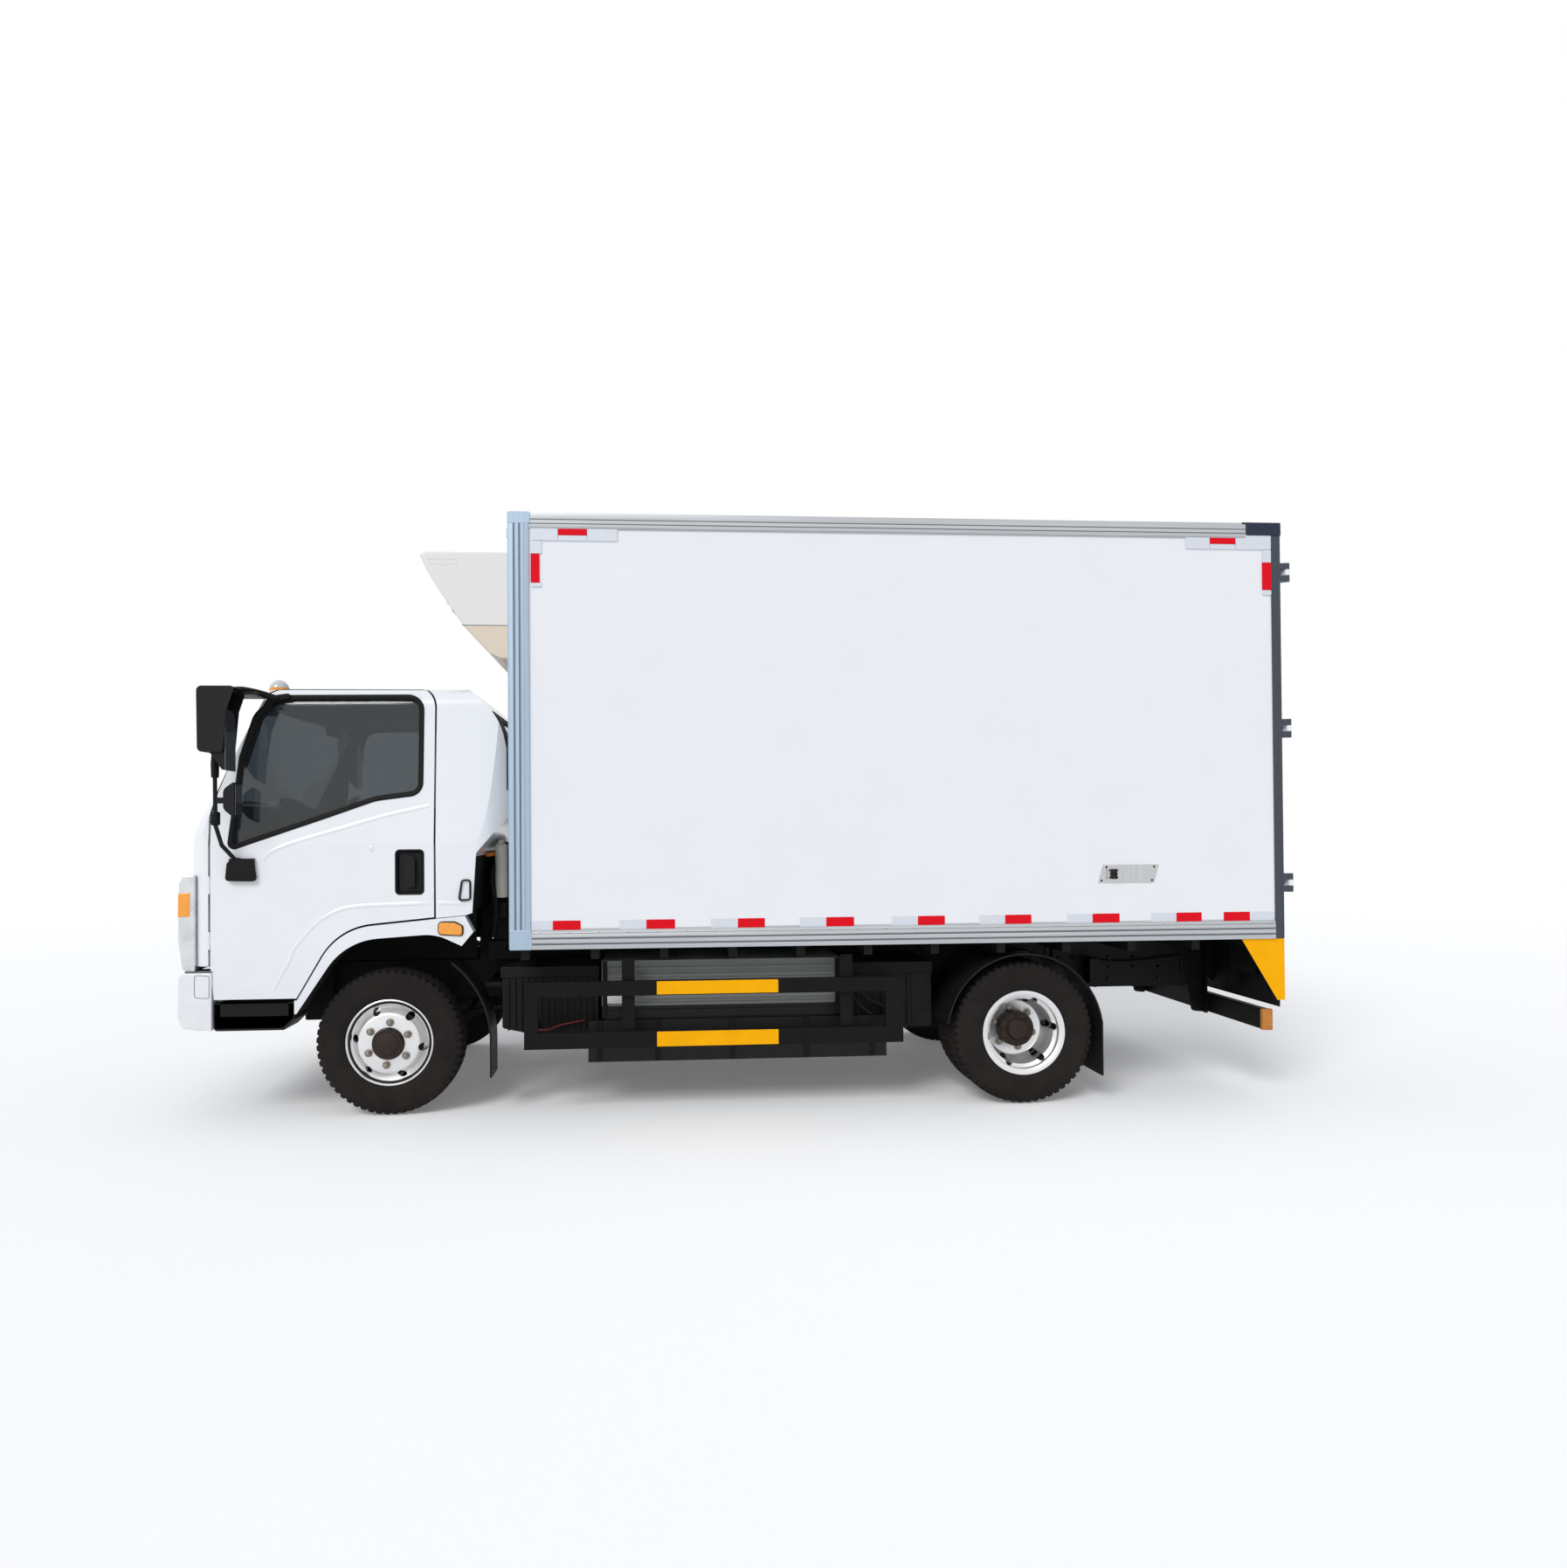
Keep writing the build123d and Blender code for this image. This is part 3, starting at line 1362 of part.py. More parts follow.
parts = {}
parts["ladder_frame"] = ladder_frame()
parts["front_axle_beam"] = axle_beam()
parts["leaf_springs"] = springs()
parts["rear_axle"] = rear_axle()
parts["battery_cases"] = battery_cases()
parts["side_guards"] = side_guards()
parts["front_bumper"] = bumper()
parts["mudguards"] = mudguards()
parts["rear_underrun"] = underrun()
parts["rear_lamps"] = lamp_bars()
parts["box_lamps"] = box_lamps()
parts["box_floor"] = box_floor()
parts["box_side_walls"] = box_walls()
parts["box_front_wall"] = block(BOX_X0, BOX_X0 + WALL_T, -BOX_HALF, BOX_HALF, FLOOR_Z1, ROOF_UNDER)
parts["box_roof"] = block(BOX_X0, PORTAL_X, -BOX_HALF, BOX_HALF, ROOF_UNDER, ROOF_Z)
parts["cross_bearers"] = bearers()
parts["box_edge_rails"] = edge_rails()
parts["rear_portal"] = rear_portal()
parts["holdback_pads"] = holdbacks()
parts["fridge_unit"] = fridge()
parts["evaporator"] = evaporator()
parts["cab_support"] = cab_support()
parts["cab_shell"] = cab_shell() + cab_lugs()
parts["grille_panel"] = grille()
parts["windscreen"] = screen_glass()
parts["rear_window"] = rear_glass()
parts["headlamps"] = both_sides(headlamp())
parts["arch_flares"] = flares()
parts["side_steps"] = steps()
parts["seats"] = both_sides(seat(-SEAT_Y, SEAT_HALF)) + seat(0, MIDDLE_SEAT_HALF)
parts["seat_bases"] = both_sides(seat_base(-SEAT_Y, SEAT_HALF)) + seat_base(0, MIDDLE_SEAT_HALF)
parts["dashboard"] = dashboard()
parts["steering_wheel"] = steering_wheel()
parts["cab_lamps"] = cab_lamps()
left_door = door()
parts["door_left"] = left_door
parts["door_right"] = other_side(left_door)
left_handle = door_handle()
parts["door_handle_left"] = left_handle
parts["door_handle_right"] = other_side(left_handle)
left_glass = door_glass()
parts["door_glass_left"] = left_glass
parts["door_glass_right"] = other_side(left_glass)
left_mirror = mirror_set()
parts["mirror_left"] = left_mirror
parts["mirror_right"] = other_side(left_mirror)
left_knuckle = knuckle()
parts["knuckle_left"] = left_knuckle
parts["knuckle_right"] = other_side(left_knuckle)
front_tyre = tyre(0, FRONT_Y)
parts["tyre_front_left"] = front_tyre
parts["tyre_front_right"] = other_side(front_tyre)
front_wheel = front_rim()
parts["rim_front_left"] = front_wheel
parts["rim_front_right"] = other_side(front_wheel)
rear_tyres = tyre(WHEELBASE, -REAR_OUTER_Y) + tyre(WHEELBASE, REAR_INNER_Y)
parts["tyre_rear_left"] = rear_tyres
parts["tyre_rear_right"] = other_side(rear_tyres)
rear_wheel = rear_rim()
parts["rim_rear_left"] = rear_wheel
parts["rim_rear_right"] = other_side(rear_wheel)
left_rear_door = rear_door()
parts["rear_door_left"] = left_rear_door
parts["rear_door_right"] = other_side(left_rear_door)
left_lock = lock_rod()
parts["rear_lock_left"] = left_lock
parts["rear_lock_right"] = other_side(left_lock)

os.makedirs("parts", exist_ok=True)
for name, shape in parts.items():
    placed = Pos(-MID_X, 0, 0) * shape
    export_step(placed, os.path.join("parts", name + ".step"))
    box = placed.bounding_box()
    low = [round(v) for v in box.min]
    high = [round(v) for v in box.max]
    print(name, len(placed.solids()), "solids", round(placed.volume), low, high)
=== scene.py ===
import math

import bmesh
import bpy
from mathutils import Matrix, Vector


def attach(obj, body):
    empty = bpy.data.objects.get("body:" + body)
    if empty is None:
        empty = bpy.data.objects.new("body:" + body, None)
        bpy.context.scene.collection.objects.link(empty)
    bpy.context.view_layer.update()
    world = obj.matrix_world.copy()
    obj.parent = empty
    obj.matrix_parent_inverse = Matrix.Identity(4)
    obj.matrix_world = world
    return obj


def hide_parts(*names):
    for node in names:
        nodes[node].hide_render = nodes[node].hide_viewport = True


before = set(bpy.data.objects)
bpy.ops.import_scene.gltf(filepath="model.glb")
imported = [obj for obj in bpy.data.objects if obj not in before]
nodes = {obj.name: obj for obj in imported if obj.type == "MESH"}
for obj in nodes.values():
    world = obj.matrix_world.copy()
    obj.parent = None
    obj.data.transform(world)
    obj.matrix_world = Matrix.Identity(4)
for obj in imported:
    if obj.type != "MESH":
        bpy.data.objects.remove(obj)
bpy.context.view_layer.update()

# Shapes are written in millimetres, with x from the front axle line
MID_X = 1897.5
AXLE_Z = 380
WHEELBASE = 3360
SIDES = ("left", "right")
MERGE = 0.00001


def at(x, y, z):
    return Vector(((x - MID_X) / 1000, y / 1000, z / 1000))


# Materials

def link(tree, a, b):
    tree.links.new(a, b)


def math_node(tree, operation, a, b, clamp=False):
    node = tree.nodes.new("ShaderNodeMath")
    node.operation = operation
    node.use_clamp = clamp
    for value, socket in ((a, node.inputs[0]), (b, node.inputs[1])):
        if isinstance(value, float):
            socket.default_value = value
        else:
            link(tree, value, socket)
    return node.outputs["Value"]


def texture_place(tree, stretch):
    coords = tree.nodes.new("ShaderNodeTexCoord")
    mapping = tree.nodes.new("ShaderNodeMapping")
    mapping.inputs["Scale"].default_value = stretch
    link(tree, coords.outputs["Object"], mapping.inputs["Vector"])
    return mapping.outputs["Vector"], coords.outputs["Object"]


def noise(tree, vector, scale, detail, rough):
    node = tree.nodes.new("ShaderNodeTexNoise")
    node.inputs["Scale"].default_value = scale
    node.inputs["Detail"].default_value = detail
    node.inputs["Roughness"].default_value = rough
    link(tree, vector, node.inputs["Vector"])
    return node.outputs["Fac"]


def remap(tree, value, *limits):
    # Takes the range of the first two limits to that of the last two
    node = tree.nodes.new("ShaderNodeMapRange")
    link(tree, value, node.inputs["Value"])
    for name, limit in zip(("From Min", "From Max", "To Min", "To Max"), limits):
        node.inputs[name].default_value = limit
    return node.outputs["Result"]


def mix(tree, fac, a, b):
    node = tree.nodes.new("ShaderNodeMix")
    node.data_type = "RGBA"
    link(tree, fac, node.inputs["Factor"])
    for value, name in ((a, "A"), (b, "B")):
        socket = [s for s in node.inputs if s.name == name and s.type == "RGBA"][0]
        if isinstance(value, tuple):
            socket.default_value = (*value, 1)
        else:
            link(tree, value, socket)
    return [s for s in node.outputs if s.type == "RGBA"][0]


def shade(colour, amount):
    return tuple(min(1.0, max(0.0, c * amount)) for c in colour)


def finish(name, colour, rough, metallic=0.0, vary=0.06, scale=3.0, stretch=(1, 1, 1), bump=0.0,
           grain=400.0, dust=0.0, dust_top=1.0, dust_colour=(0.20, 0.17, 0.13), coat=0.0, rough_vary=0.08,
           transmission=0.0, sheen=0.0, above=None, spec=0.5):
    # Cloudy paint with dust low down and a fine grain; above is a height in metres and the colour over it
    material = bpy.data.materials.new(name)
    material.use_nodes = True
    tree = material.node_tree
    shader = tree.nodes["Principled BSDF"]
    vector, plain = texture_place(tree, stretch)
    cloud = noise(tree, vector, scale, 4.0, 0.6)
    spread = remap(tree, cloud, 0.3, 0.7, 0.0, 1.0)
    paint = mix(tree, spread, shade(colour, 1 - vary), shade(colour, 1 + vary))
    split = tree.nodes.new("ShaderNodeSeparateXYZ")
    link(tree, plain, split.inputs["Vector"])
    height = split.outputs["Z"]
    if above is not None:
        paint = mix(tree, math_node(tree, "GREATER_THAN", height, above[0]), paint, above[1])
    if dust > 0:
        low = remap(tree, height, 0.0, dust_top, 1.0, 0.0)
        patches = remap(tree, noise(tree, plain, 9.0, 8.0, 0.65), 0.35, 0.75, 0.2, 1.0)
        layer = math_node(tree, "MULTIPLY", low, patches, True)
        paint = mix(tree, math_node(tree, "MULTIPLY", layer, dust, True), paint, dust_colour)
    link(tree, paint, shader.inputs["Base Color"])
    roughness = remap(tree, cloud, 0.3, 0.7, rough - rough_vary * 0.5, rough + rough_vary * 0.5)
    link(tree, roughness, shader.inputs["Roughness"])
    for socket, value in (("Metallic", metallic), ("Coat Weight", coat), ("Coat Roughness", 0.08),
                          ("Transmission Weight", transmission), ("Sheen Weight", sheen),
                          ("Specular IOR Level", spec)):
        shader.inputs[socket].default_value = value
    if bump > 0:
        node = tree.nodes.new("ShaderNodeBump")
        node.inputs["Strength"].default_value = 0.6
        node.inputs["Distance"].default_value = bump / 1000
        link(tree, noise(tree, vector, grain, 3.0, 0.6), node.inputs["Height"])
        link(tree, node.outputs["Normal"], shader.inputs["Normal"])
    return material


WHITE_PAINT = finish("white_paint", (0.80, 0.82, 0.85), 0.22, vary=0.015, coat=0.6, bump=0.05, grain=60,
                     dust=0.35, dust_top=0.9, rough_vary=0.04)
WHITE_PANEL = finish("white_panel", (0.80, 0.81, 0.84), 0.34, vary=0.012, bump=0.15, grain=5,
                     rough_vary=0.05)
RAIL = finish("rail_aluminium", (0.50, 0.52, 0.54), 0.38, metallic=0.75, vary=0.10, stretch=(0.4, 40, 40),
              bump=0.06, grain=8)
POST = finish("post_aluminium", (0.40, 0.50, 0.62), 0.38, metallic=0.6, vary=0.08, stretch=(40, 40, 0.4),
              bump=0.06, grain=8)
# Painted shade in the rail grooves and bumper gaps; also the own colour of the fridge seam and screw heads
SHADE_LINES_SEAMS_AND_SCREWS = finish("shade_lines_seams_and_screws", (0.16, 0.18, 0.20), 0.5, metallic=0.5, vary=0.1, bump=0.03, grain=80)
REAR_POST = finish("rear_post", (0.060, 0.070, 0.085), 0.42, metallic=0.4, vary=0.12, stretch=(30, 30, 0.4),
                   bump=0.05, grain=10, spec=0.3)
STEEL = finish("stainless", (0.56, 0.57, 0.58), 0.3, metallic=1.0, vary=0.07, stretch=(20, 20, 0.5),
               bump=0.04, grain=9)
BLACK_FRAME = finish("black_frame", (0.0065, 0.0065, 0.0075), 0.55, vary=0.3, scale=8, bump=0.25, grain=130,
                     dust=0.25, dust_top=1.0, dust_colour=(0.030, 0.024, 0.018), spec=0.16)
GUARD = finish("guard_paint", (0.0065, 0.0062, 0.0068), 0.5, vary=0.2, scale=10, bump=0.2, grain=150,
               dust=0.25, dust_top=0.8, dust_colour=(0.022, 0.016, 0.012), spec=0.1)
BLACK_PLASTIC = finish("black_plastic", (0.0075, 0.0075, 0.0085), 0.48, vary=0.15, bump=0.15, grain=700,
                       spec=0.2)
RUBBER = finish("rubber", (0.0060, 0.0060, 0.0060), 0.6, vary=0.2, bump=0.1, grain=300, spec=0.16)
TYRE = finish("tyre_rubber", (0.0125, 0.0110, 0.0105), 0.8, vary=0.25, scale=6, bump=0.3, grain=260,
              dust=0.6, dust_top=1.2, dust_colour=(0.032, 0.025, 0.021), spec=0.12)
NUT = finish("wheel_nut", (0.26, 0.23, 0.20), 0.4, metallic=0.85, vary=0.2, scale=60, bump=0.1, grain=300)
POLISHED = finish("polished_rim", (0.82, 0.82, 0.83), 0.34, metallic=0.85, vary=0.06, scale=9, bump=0.05,
                  grain=90, rough_vary=0.12, dust=0.25, dust_top=0.9, dust_colour=(0.30, 0.26, 0.22))
IRON = finish("cast_iron", (0.016, 0.013, 0.012), 0.6, vary=0.3, scale=12, bump=0.5, grain=180, dust=0.5,
              dust_top=1.0, dust_colour=(0.055, 0.034, 0.022), spec=0.2)
HUB = finish("hub_black", (0.014, 0.010, 0.008), 0.55, vary=0.35, scale=20, bump=0.3, grain=200, dust=0.6,
             dust_top=1.0, dust_colour=(0.060, 0.030, 0.018), spec=0.25)
# Battery cases: grey above 0.545 m; the near-black base colour below it is painted shade standing for the
# shadow of the box and side guards
CASE_WITH_PAINTED_SHADE = finish("grey_case", (0.0075, 0.0075, 0.0080), 0.45, vary=0.12, bump=0.1, grain=120,
                   stretch=(0.5, 6, 6), spec=0.25, above=(0.545, (0.215, 0.225, 0.215)))
PANE = finish("tinted_pane", (0.22, 0.25, 0.27), 0.03, vary=0.02, transmission=0.94, rough_vary=0.02)
CLEAR = finish("clear_lens", (0.78, 0.80, 0.82), 0.10, metallic=0.35, vary=0.05, coat=1.0, bump=0.25,
               grain=160)
HEADLAMP = finish("headlamp_lens", (0.66, 0.68, 0.70), 0.12, metallic=0.5, vary=0.14, scale=14, coat=1.0,
                  bump=0.4, grain=90)
CAB_LENS = finish("cab_lamp_lens", (0.90, 0.30, 0.02), 0.15, vary=0.08, scale=60, coat=0.8, bump=0.3,
                  grain=400, above=(2.0, (0.52, 0.55, 0.58)))
FRIDGE = finish("fridge_shell", (0.72, 0.62, 0.50), 0.42, vary=0.03, bump=0.12, grain=120,
                above=(2.602, (0.76, 0.75, 0.72)))
CHROME = finish("bright_trim", (0.80, 0.80, 0.82), 0.10, metallic=1.0, vary=0.03, bump=0.02, grain=60)
MIRROR = finish("mirror_glass", (0.20, 0.22, 0.25), 0.02, metallic=1.0, vary=0.01, rough_vary=0.01)
LINING = finish("cab_lining", (0.085, 0.085, 0.090), 0.75, vary=0.10, scale=12, bump=0.3, grain=700)
UNDERCOAT = finish("undercoat", (0.0075, 0.0075, 0.0080), 0.7, vary=0.3, scale=9, bump=0.5, grain=120,
                   dust=0.3, dust_top=1.2, dust_colour=(0.028, 0.022, 0.018), spec=0.1)
ORANGE = finish("orange_cable", (0.80, 0.22, 0.02), 0.5, vary=0.08, bump=0.1, grain=300)
BELT = finish("belt_webbing", (0.035, 0.036, 0.040), 0.8, vary=0.15, stretch=(1, 60, 1), bump=0.3,
              grain=500)
BOTTLE = finish("fluid_bottle", (0.62, 0.60, 0.54), 0.4, vary=0.06, bump=0.1, grain=90)
DARK_CAP = finish("dark_corner_cap", (0.010, 0.015, 0.040), 0.35, metallic=0.3, vary=0.2, bump=0.1,
                  grain=200)
PLATE = finish("bare_plate", (0.80, 0.80, 0.80), 0.4, vary=0.04, bump=0.05, grain=200)
AMBER = finish("amber_lens", (0.90, 0.34, 0.03), 0.18, vary=0.08, scale=60, coat=0.5, bump=0.3, grain=500)
RED_LENS = finish("red_lens", (0.50, 0.02, 0.02), 0.15, vary=0.1, scale=60, coat=0.6, bump=0.3, grain=500)
SEAT = finish("seat_cloth", (0.050, 0.052, 0.060), 0.85, vary=0.2, scale=40, bump=0.5, grain=900, sheen=0.4)
DASH = finish("dash_plastic", (0.055, 0.056, 0.060), 0.6, vary=0.1, bump=0.2, grain=900)
TAPE_RED = finish("tape_red", (0.72, 0.004, 0.014), 0.45, vary=0.08, scale=120, bump=0.1, grain=900,
                  spec=0.1)
TAPE_SILVER = finish("tape_silver", (0.66, 0.69, 0.75), 0.4, metallic=0.15, vary=0.05, scale=150, bump=0.1,
                     grain=900, spec=0.3)
YELLOW = finish("yellow_paint", (0.92, 0.42, 0.0), 0.5, vary=0.05, scale=12, bump=0.06, grain=200, spec=0.1)
END_CAP = finish("end_cap", (0.52, 0.20, 0.045), 0.5, vary=0.15, scale=20, bump=0.1, grain=200, spec=0.2)
RED_LEAD = finish("red_lead", (0.16, 0.010, 0.012), 0.5, vary=0.15, bump=0.1, grain=300, spec=0.3)
FLOOR_METAL = finish("floor_metal", (0.52, 0.54, 0.56), 0.42, metallic=0.8, vary=0.1, stretch=(1, 12, 12),
                     bump=0.1, grain=30)

PAINTS = {
    "ladder_frame": BLACK_FRAME, "front_axle_beam": IRON, "leaf_springs": BLACK_FRAME, "rear_axle": IRON,
    "battery_cases": CASE_WITH_PAINTED_SHADE, "side_guards": GUARD, "front_bumper": WHITE_PAINT, "mudguards": BLACK_PLASTIC,
    "rear_underrun": GUARD, "rear_lamps": BLACK_PLASTIC, "box_lamps": CLEAR, "box_floor": FLOOR_METAL,
    "box_side_walls": WHITE_PANEL, "box_front_wall": WHITE_PANEL, "box_roof": WHITE_PANEL,
    "cross_bearers": BLACK_FRAME, "box_edge_rails": RAIL, "rear_portal": REAR_POST, "holdback_pads": STEEL,
    "fridge_unit": FRIDGE, "evaporator": WHITE_PANEL, "cab_support": BLACK_FRAME, "cab_shell": WHITE_PAINT,
    "grille_panel": BLACK_PLASTIC, "windscreen": PANE, "rear_window": PANE, "headlamps": HEADLAMP,
    "arch_flares": WHITE_PAINT, "side_steps": BLACK_PLASTIC, "seats": SEAT, "seat_bases": DASH,
    "dashboard": DASH, "steering_wheel": BLACK_PLASTIC, "cab_lamps": CAB_LENS,
}
SIDE_PAINTS = {
    "door": WHITE_PAINT, "door_handle": BLACK_PLASTIC, "door_glass": PANE, "mirror": BLACK_PLASTIC,
    "knuckle": IRON, "tyre_front": TYRE, "tyre_rear": TYRE, "rim_front": POLISHED, "rim_rear": POLISHED,
    "rear_door": WHITE_PANEL, "rear_lock": STEEL,
}
for stem, paint in SIDE_PAINTS.items():
    for side in SIDES:
        PAINTS[stem + "_" + side] = paint
for name, node in nodes.items():
    node.data.materials.clear()
    node.data.materials.append(PAINTS[name])


# Mesh tools

def linked(name, data):
    thing = bpy.data.objects.new(name, data)
    bpy.context.scene.collection.objects.link(thing)
    return thing


def round_edges(thing, width, segments):
    rounder = thing.modifiers.new("round", "BEVEL")
    rounder.width = width / 1000
    rounder.segments = segments
    rounder.limit_method = "ANGLE"
    rounder.angle_limit = math.radians(40)


def settle(thing):
    # Puts what the modifiers make into the mesh itself
    graph = bpy.context.evaluated_depsgraph_get()
    done = bpy.data.meshes.new_from_object(thing.evaluated_get(graph))
    thing.modifiers.clear()
    old = thing.data
    thing.data = done
    done.name = thing.name
    bpy.data.meshes.remove(old)
    return done


def piece(name, mesh, paint, body, slot, smooth=35.0, bevel=0.0, segments=2):
    data = bpy.data.meshes.new(name)
    bmesh.ops.remove_doubles(mesh, verts=mesh.verts, dist=MERGE)
    bmesh.ops.recalc_face_normals(mesh, faces=mesh.faces)
    mesh.to_mesh(data)
    mesh.free()
    thing = linked(name, data)
    if bevel > 0:
        round_edges(thing, bevel, segments)
    for polygon in data.polygons:
        polygon.use_smooth = True
    data.materials.append(paint)
    edges = bmesh.new()
    edges.from_mesh(data)
    for edge in edges.edges:
        if len(edge.link_faces) == 2 and edge.calc_face_angle(0) > math.radians(smooth):
            edge.smooth = False
    edges.to_mesh(data)
    edges.free()
    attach(thing, body)
    return thing


def whole(name, draw, paint, body, slot, **look):
    # A piece that its own function draws in full
    mesh = bmesh.new()
    draw(mesh)
    return piece(name, mesh, paint, body, slot, **look)


def pair(name, draw, paint, body, slot, **look):
    # A piece drawn on the left, together with its mirror image
    mesh = bmesh.new()
    draw(mesh)
    mirrored(mesh)
    return piece(name, mesh, paint, body, slot, **look)


def sided(stem, side, draw, paint, body, slot, **look):
    # A piece of one side, drawn on the left and turned over for the right
    mesh = bmesh.new()
    draw(mesh)
    if side == "right":
        flip(mesh)
    return piece(stem + "_" + side, mesh, paint, body, slot, **look)


def band(mesh, rings, round_trip=True):
    # Faces between rings that follow one another, each ring a closed outline
    count = len(rings)
    for i in range(count if round_trip else count - 1):
        here, ahead = rings[i], rings[(i + 1) % count]
        for k in range(len(here)):
            m = (k + 1) % len(here)
            mesh.faces.new((here[k], here[m], ahead[m], ahead[k]))


def capped(mesh, rings):
    mesh.faces.new(rings[0])
    mesh.faces.new(list(reversed(rings[-1])))


def hull(mesh, ring, shift):
    # Closed solid from a ring of points and the vector it is drawn out by
    first = [mesh.verts.new(v) for v in ring]
    last = [mesh.verts.new(v + shift) for v in ring]
    mesh.faces.new(first)
    mesh.faces.new(list(reversed(last)))
    for i in range(len(ring)):
        j = (i + 1) % len(ring)
        mesh.faces.new((first[j], first[i], last[i], last[j]))


def block(mesh, x0, x1, y0, y1, z0, z1):
    ring = [at(x0, y0, z0), at(x1, y0, z0), at(x1, y1, z0), at(x0, y1, z0)]
    hull(mesh, ring, Vector((0, 0, (z1 - z0) / 1000)))


def oblong(u0, u1, v0, v1, radius):
    # Outline rows of an upright rectangle
    return [(u0, v0, radius), (u1, v0, radius), (u1, v1, radius), (u0, v1, radius)]


def rounded(rows, steps=6):
    # Points along a closed outline of (u, v, corner radius)
    points = []
    for i, (u, v, radius) in enumerate(rows):
        here = Vector((u, v))
        if radius == 0:
            points.append(here)
            continue
        before = (Vector(rows[i - 1][:2]) - here).normalized()
        after = (Vector(rows[(i + 1) % len(rows)][:2]) - here).normalized()
        half = before.angle(after) / 2
        centre = here + (before + after).normalized() * (radius / math.sin(half))
        start = here + before * (radius / math.tan(half)) - centre
        end = here + after * (radius / math.tan(half)) - centre
        turn = start.angle(end)
        for k in range(steps + 1):
            t = k / steps
            a = math.sin((1 - t) * turn) / math.sin(turn)
            b = math.sin(t * turn) / math.sin(turn)
            points.append(centre + start * a + end * b)
    return points


def swept_loop(mesh, points, profile, place):
    # Carries a profile of (outward, proud) round a closed outline
    count = len(points)
    area = sum(points[i - 1].x * points[i].y - points[i].x * points[i - 1].y for i in range(count))
    sign = 1 if area > 0 else -1
    rings = []
    for i in range(count):
        before = (points[i] - points[i - 1]).normalized()
        after = (points[(i + 1) % count] - points[i]).normalized()
        n0 = Vector((before.y, -before.x)) * sign
        n1 = Vector((after.y, -after.x)) * sign
        normal = (n0 + n1).normalized()
        reach = 1 / max(0.4, normal.dot(n1))
        ring = []
        for outward, proud in profile:
            spot = points[i] + normal * (outward * reach)
            ring.append(mesh.verts.new(place(spot.x, spot.y, proud)))
        rings.append(ring)
    band(mesh, rings)


def spun(mesh, rows, x, z, turns=96):
    # Rows of (y, radius) turned about a line along y
    rings = []
    for i in range(turns):
        angle = 2 * math.pi * i / turns
        c, s = math.cos(angle), math.sin(angle)
        rings.append([mesh.verts.new(at(x + r * c, y, z + r * s)) for y, r in rows])
    band(mesh, rings)


def turned(mesh, place, axis, rows, sides=12):
    # Rows of (along axis, radius) turned about an axis through a place
    axis = Vector(axis).normalized()
    first = axis.orthogonal().normalized()
    second = axis.cross(first)
    rings = []
    for i in range(sides):
        angle = 2 * math.pi * i / sides
        out = first * math.cos(angle) + second * math.sin(angle)
        rings.append([mesh.verts.new(place + (axis * a + out * r) / 1000) for a, r in rows])
    band(mesh, rings)


def tube(mesh, points, radius, sides=12, caps=True):
    # Round bar of a radius in metres along points of the scene
    points = [Vector(p) for p in points]
    rings = []
    up = Vector((0, 0, 1))
    for i, here in enumerate(points):
        ahead = points[min(i + 1, len(points) - 1)]
        behind = points[max(i - 1, 0)]
        way = (ahead - behind).normalized()
        if abs(way.dot(up)) > 0.95:
            up = Vector((1, 0, 0)) if abs(way.x) < 0.9 else Vector((0, 1, 0))
        across = way.cross(up).normalized()
        up = across.cross(way).normalized()
        ring = []
        for k in range(sides):
            angle = 2 * math.pi * k / sides
            ring.append(mesh.verts.new(here + (across * math.cos(angle) + up * math.sin(angle)) * radius))
        rings.append(ring)
    band(mesh, rings, False)
    if caps:
        capped(mesh, rings)


def turned_over(mesh, verts, faces):
    for vert in verts:
        vert.co.y = -vert.co.y
    bmesh.ops.reverse_faces(mesh, faces=faces)


def mirrored(mesh):
    # Adds the mirror image in y
    copy = bmesh.ops.duplicate(mesh, geom=mesh.verts[:] + mesh.edges[:] + mesh.faces[:])
    turned_over(mesh, [g for g in copy["geom"] if isinstance(g, bmesh.types.BMVert)],
                [g for g in copy["geom"] if isinstance(g, bmesh.types.BMFace)])


def flip(mesh):
    turned_over(mesh, mesh.verts, mesh.faces)


def side_slab(mesh, rows, y0, y1, steps=6):
    # Plate with an outline of (x, z, corner radius)
    ring = [at(p.x, y0, p.y) for p in rounded(rows, steps)]
    hull(mesh, ring, Vector((0, (y1 - y0) / 1000, 0)))


def front_slab(mesh, rows, x0, x1, steps=6):
    # Plate with an outline of (y, z, corner radius)
    ring = [at(x0, p.x, p.y) for p in rounded(rows, steps)]
    hull(mesh, ring, Vector(((x1 - x0) / 1000, 0, 0)))


def head(mesh, place, axis, radius, height, sides=10):
    # Domed rivet or screw head
    rows = [(-0.5, 0.01), (-0.5, radius), (height * 0.4, radius), (height * 0.85, radius * 0.7),
            (height, radius * 0.3), (height, 0.01)]
    turned(mesh, place, axis, rows, sides)


def hexagon(mesh, place, axis, radius, height):
    # Bolt head on its washer
    rows = [(-0.5, 0.01), (-0.5, radius * 1.25), (2, radius * 1.25), (2, radius), (height, radius),
            (height, 0.01)]
    turned(mesh, place, axis, rows, 6)


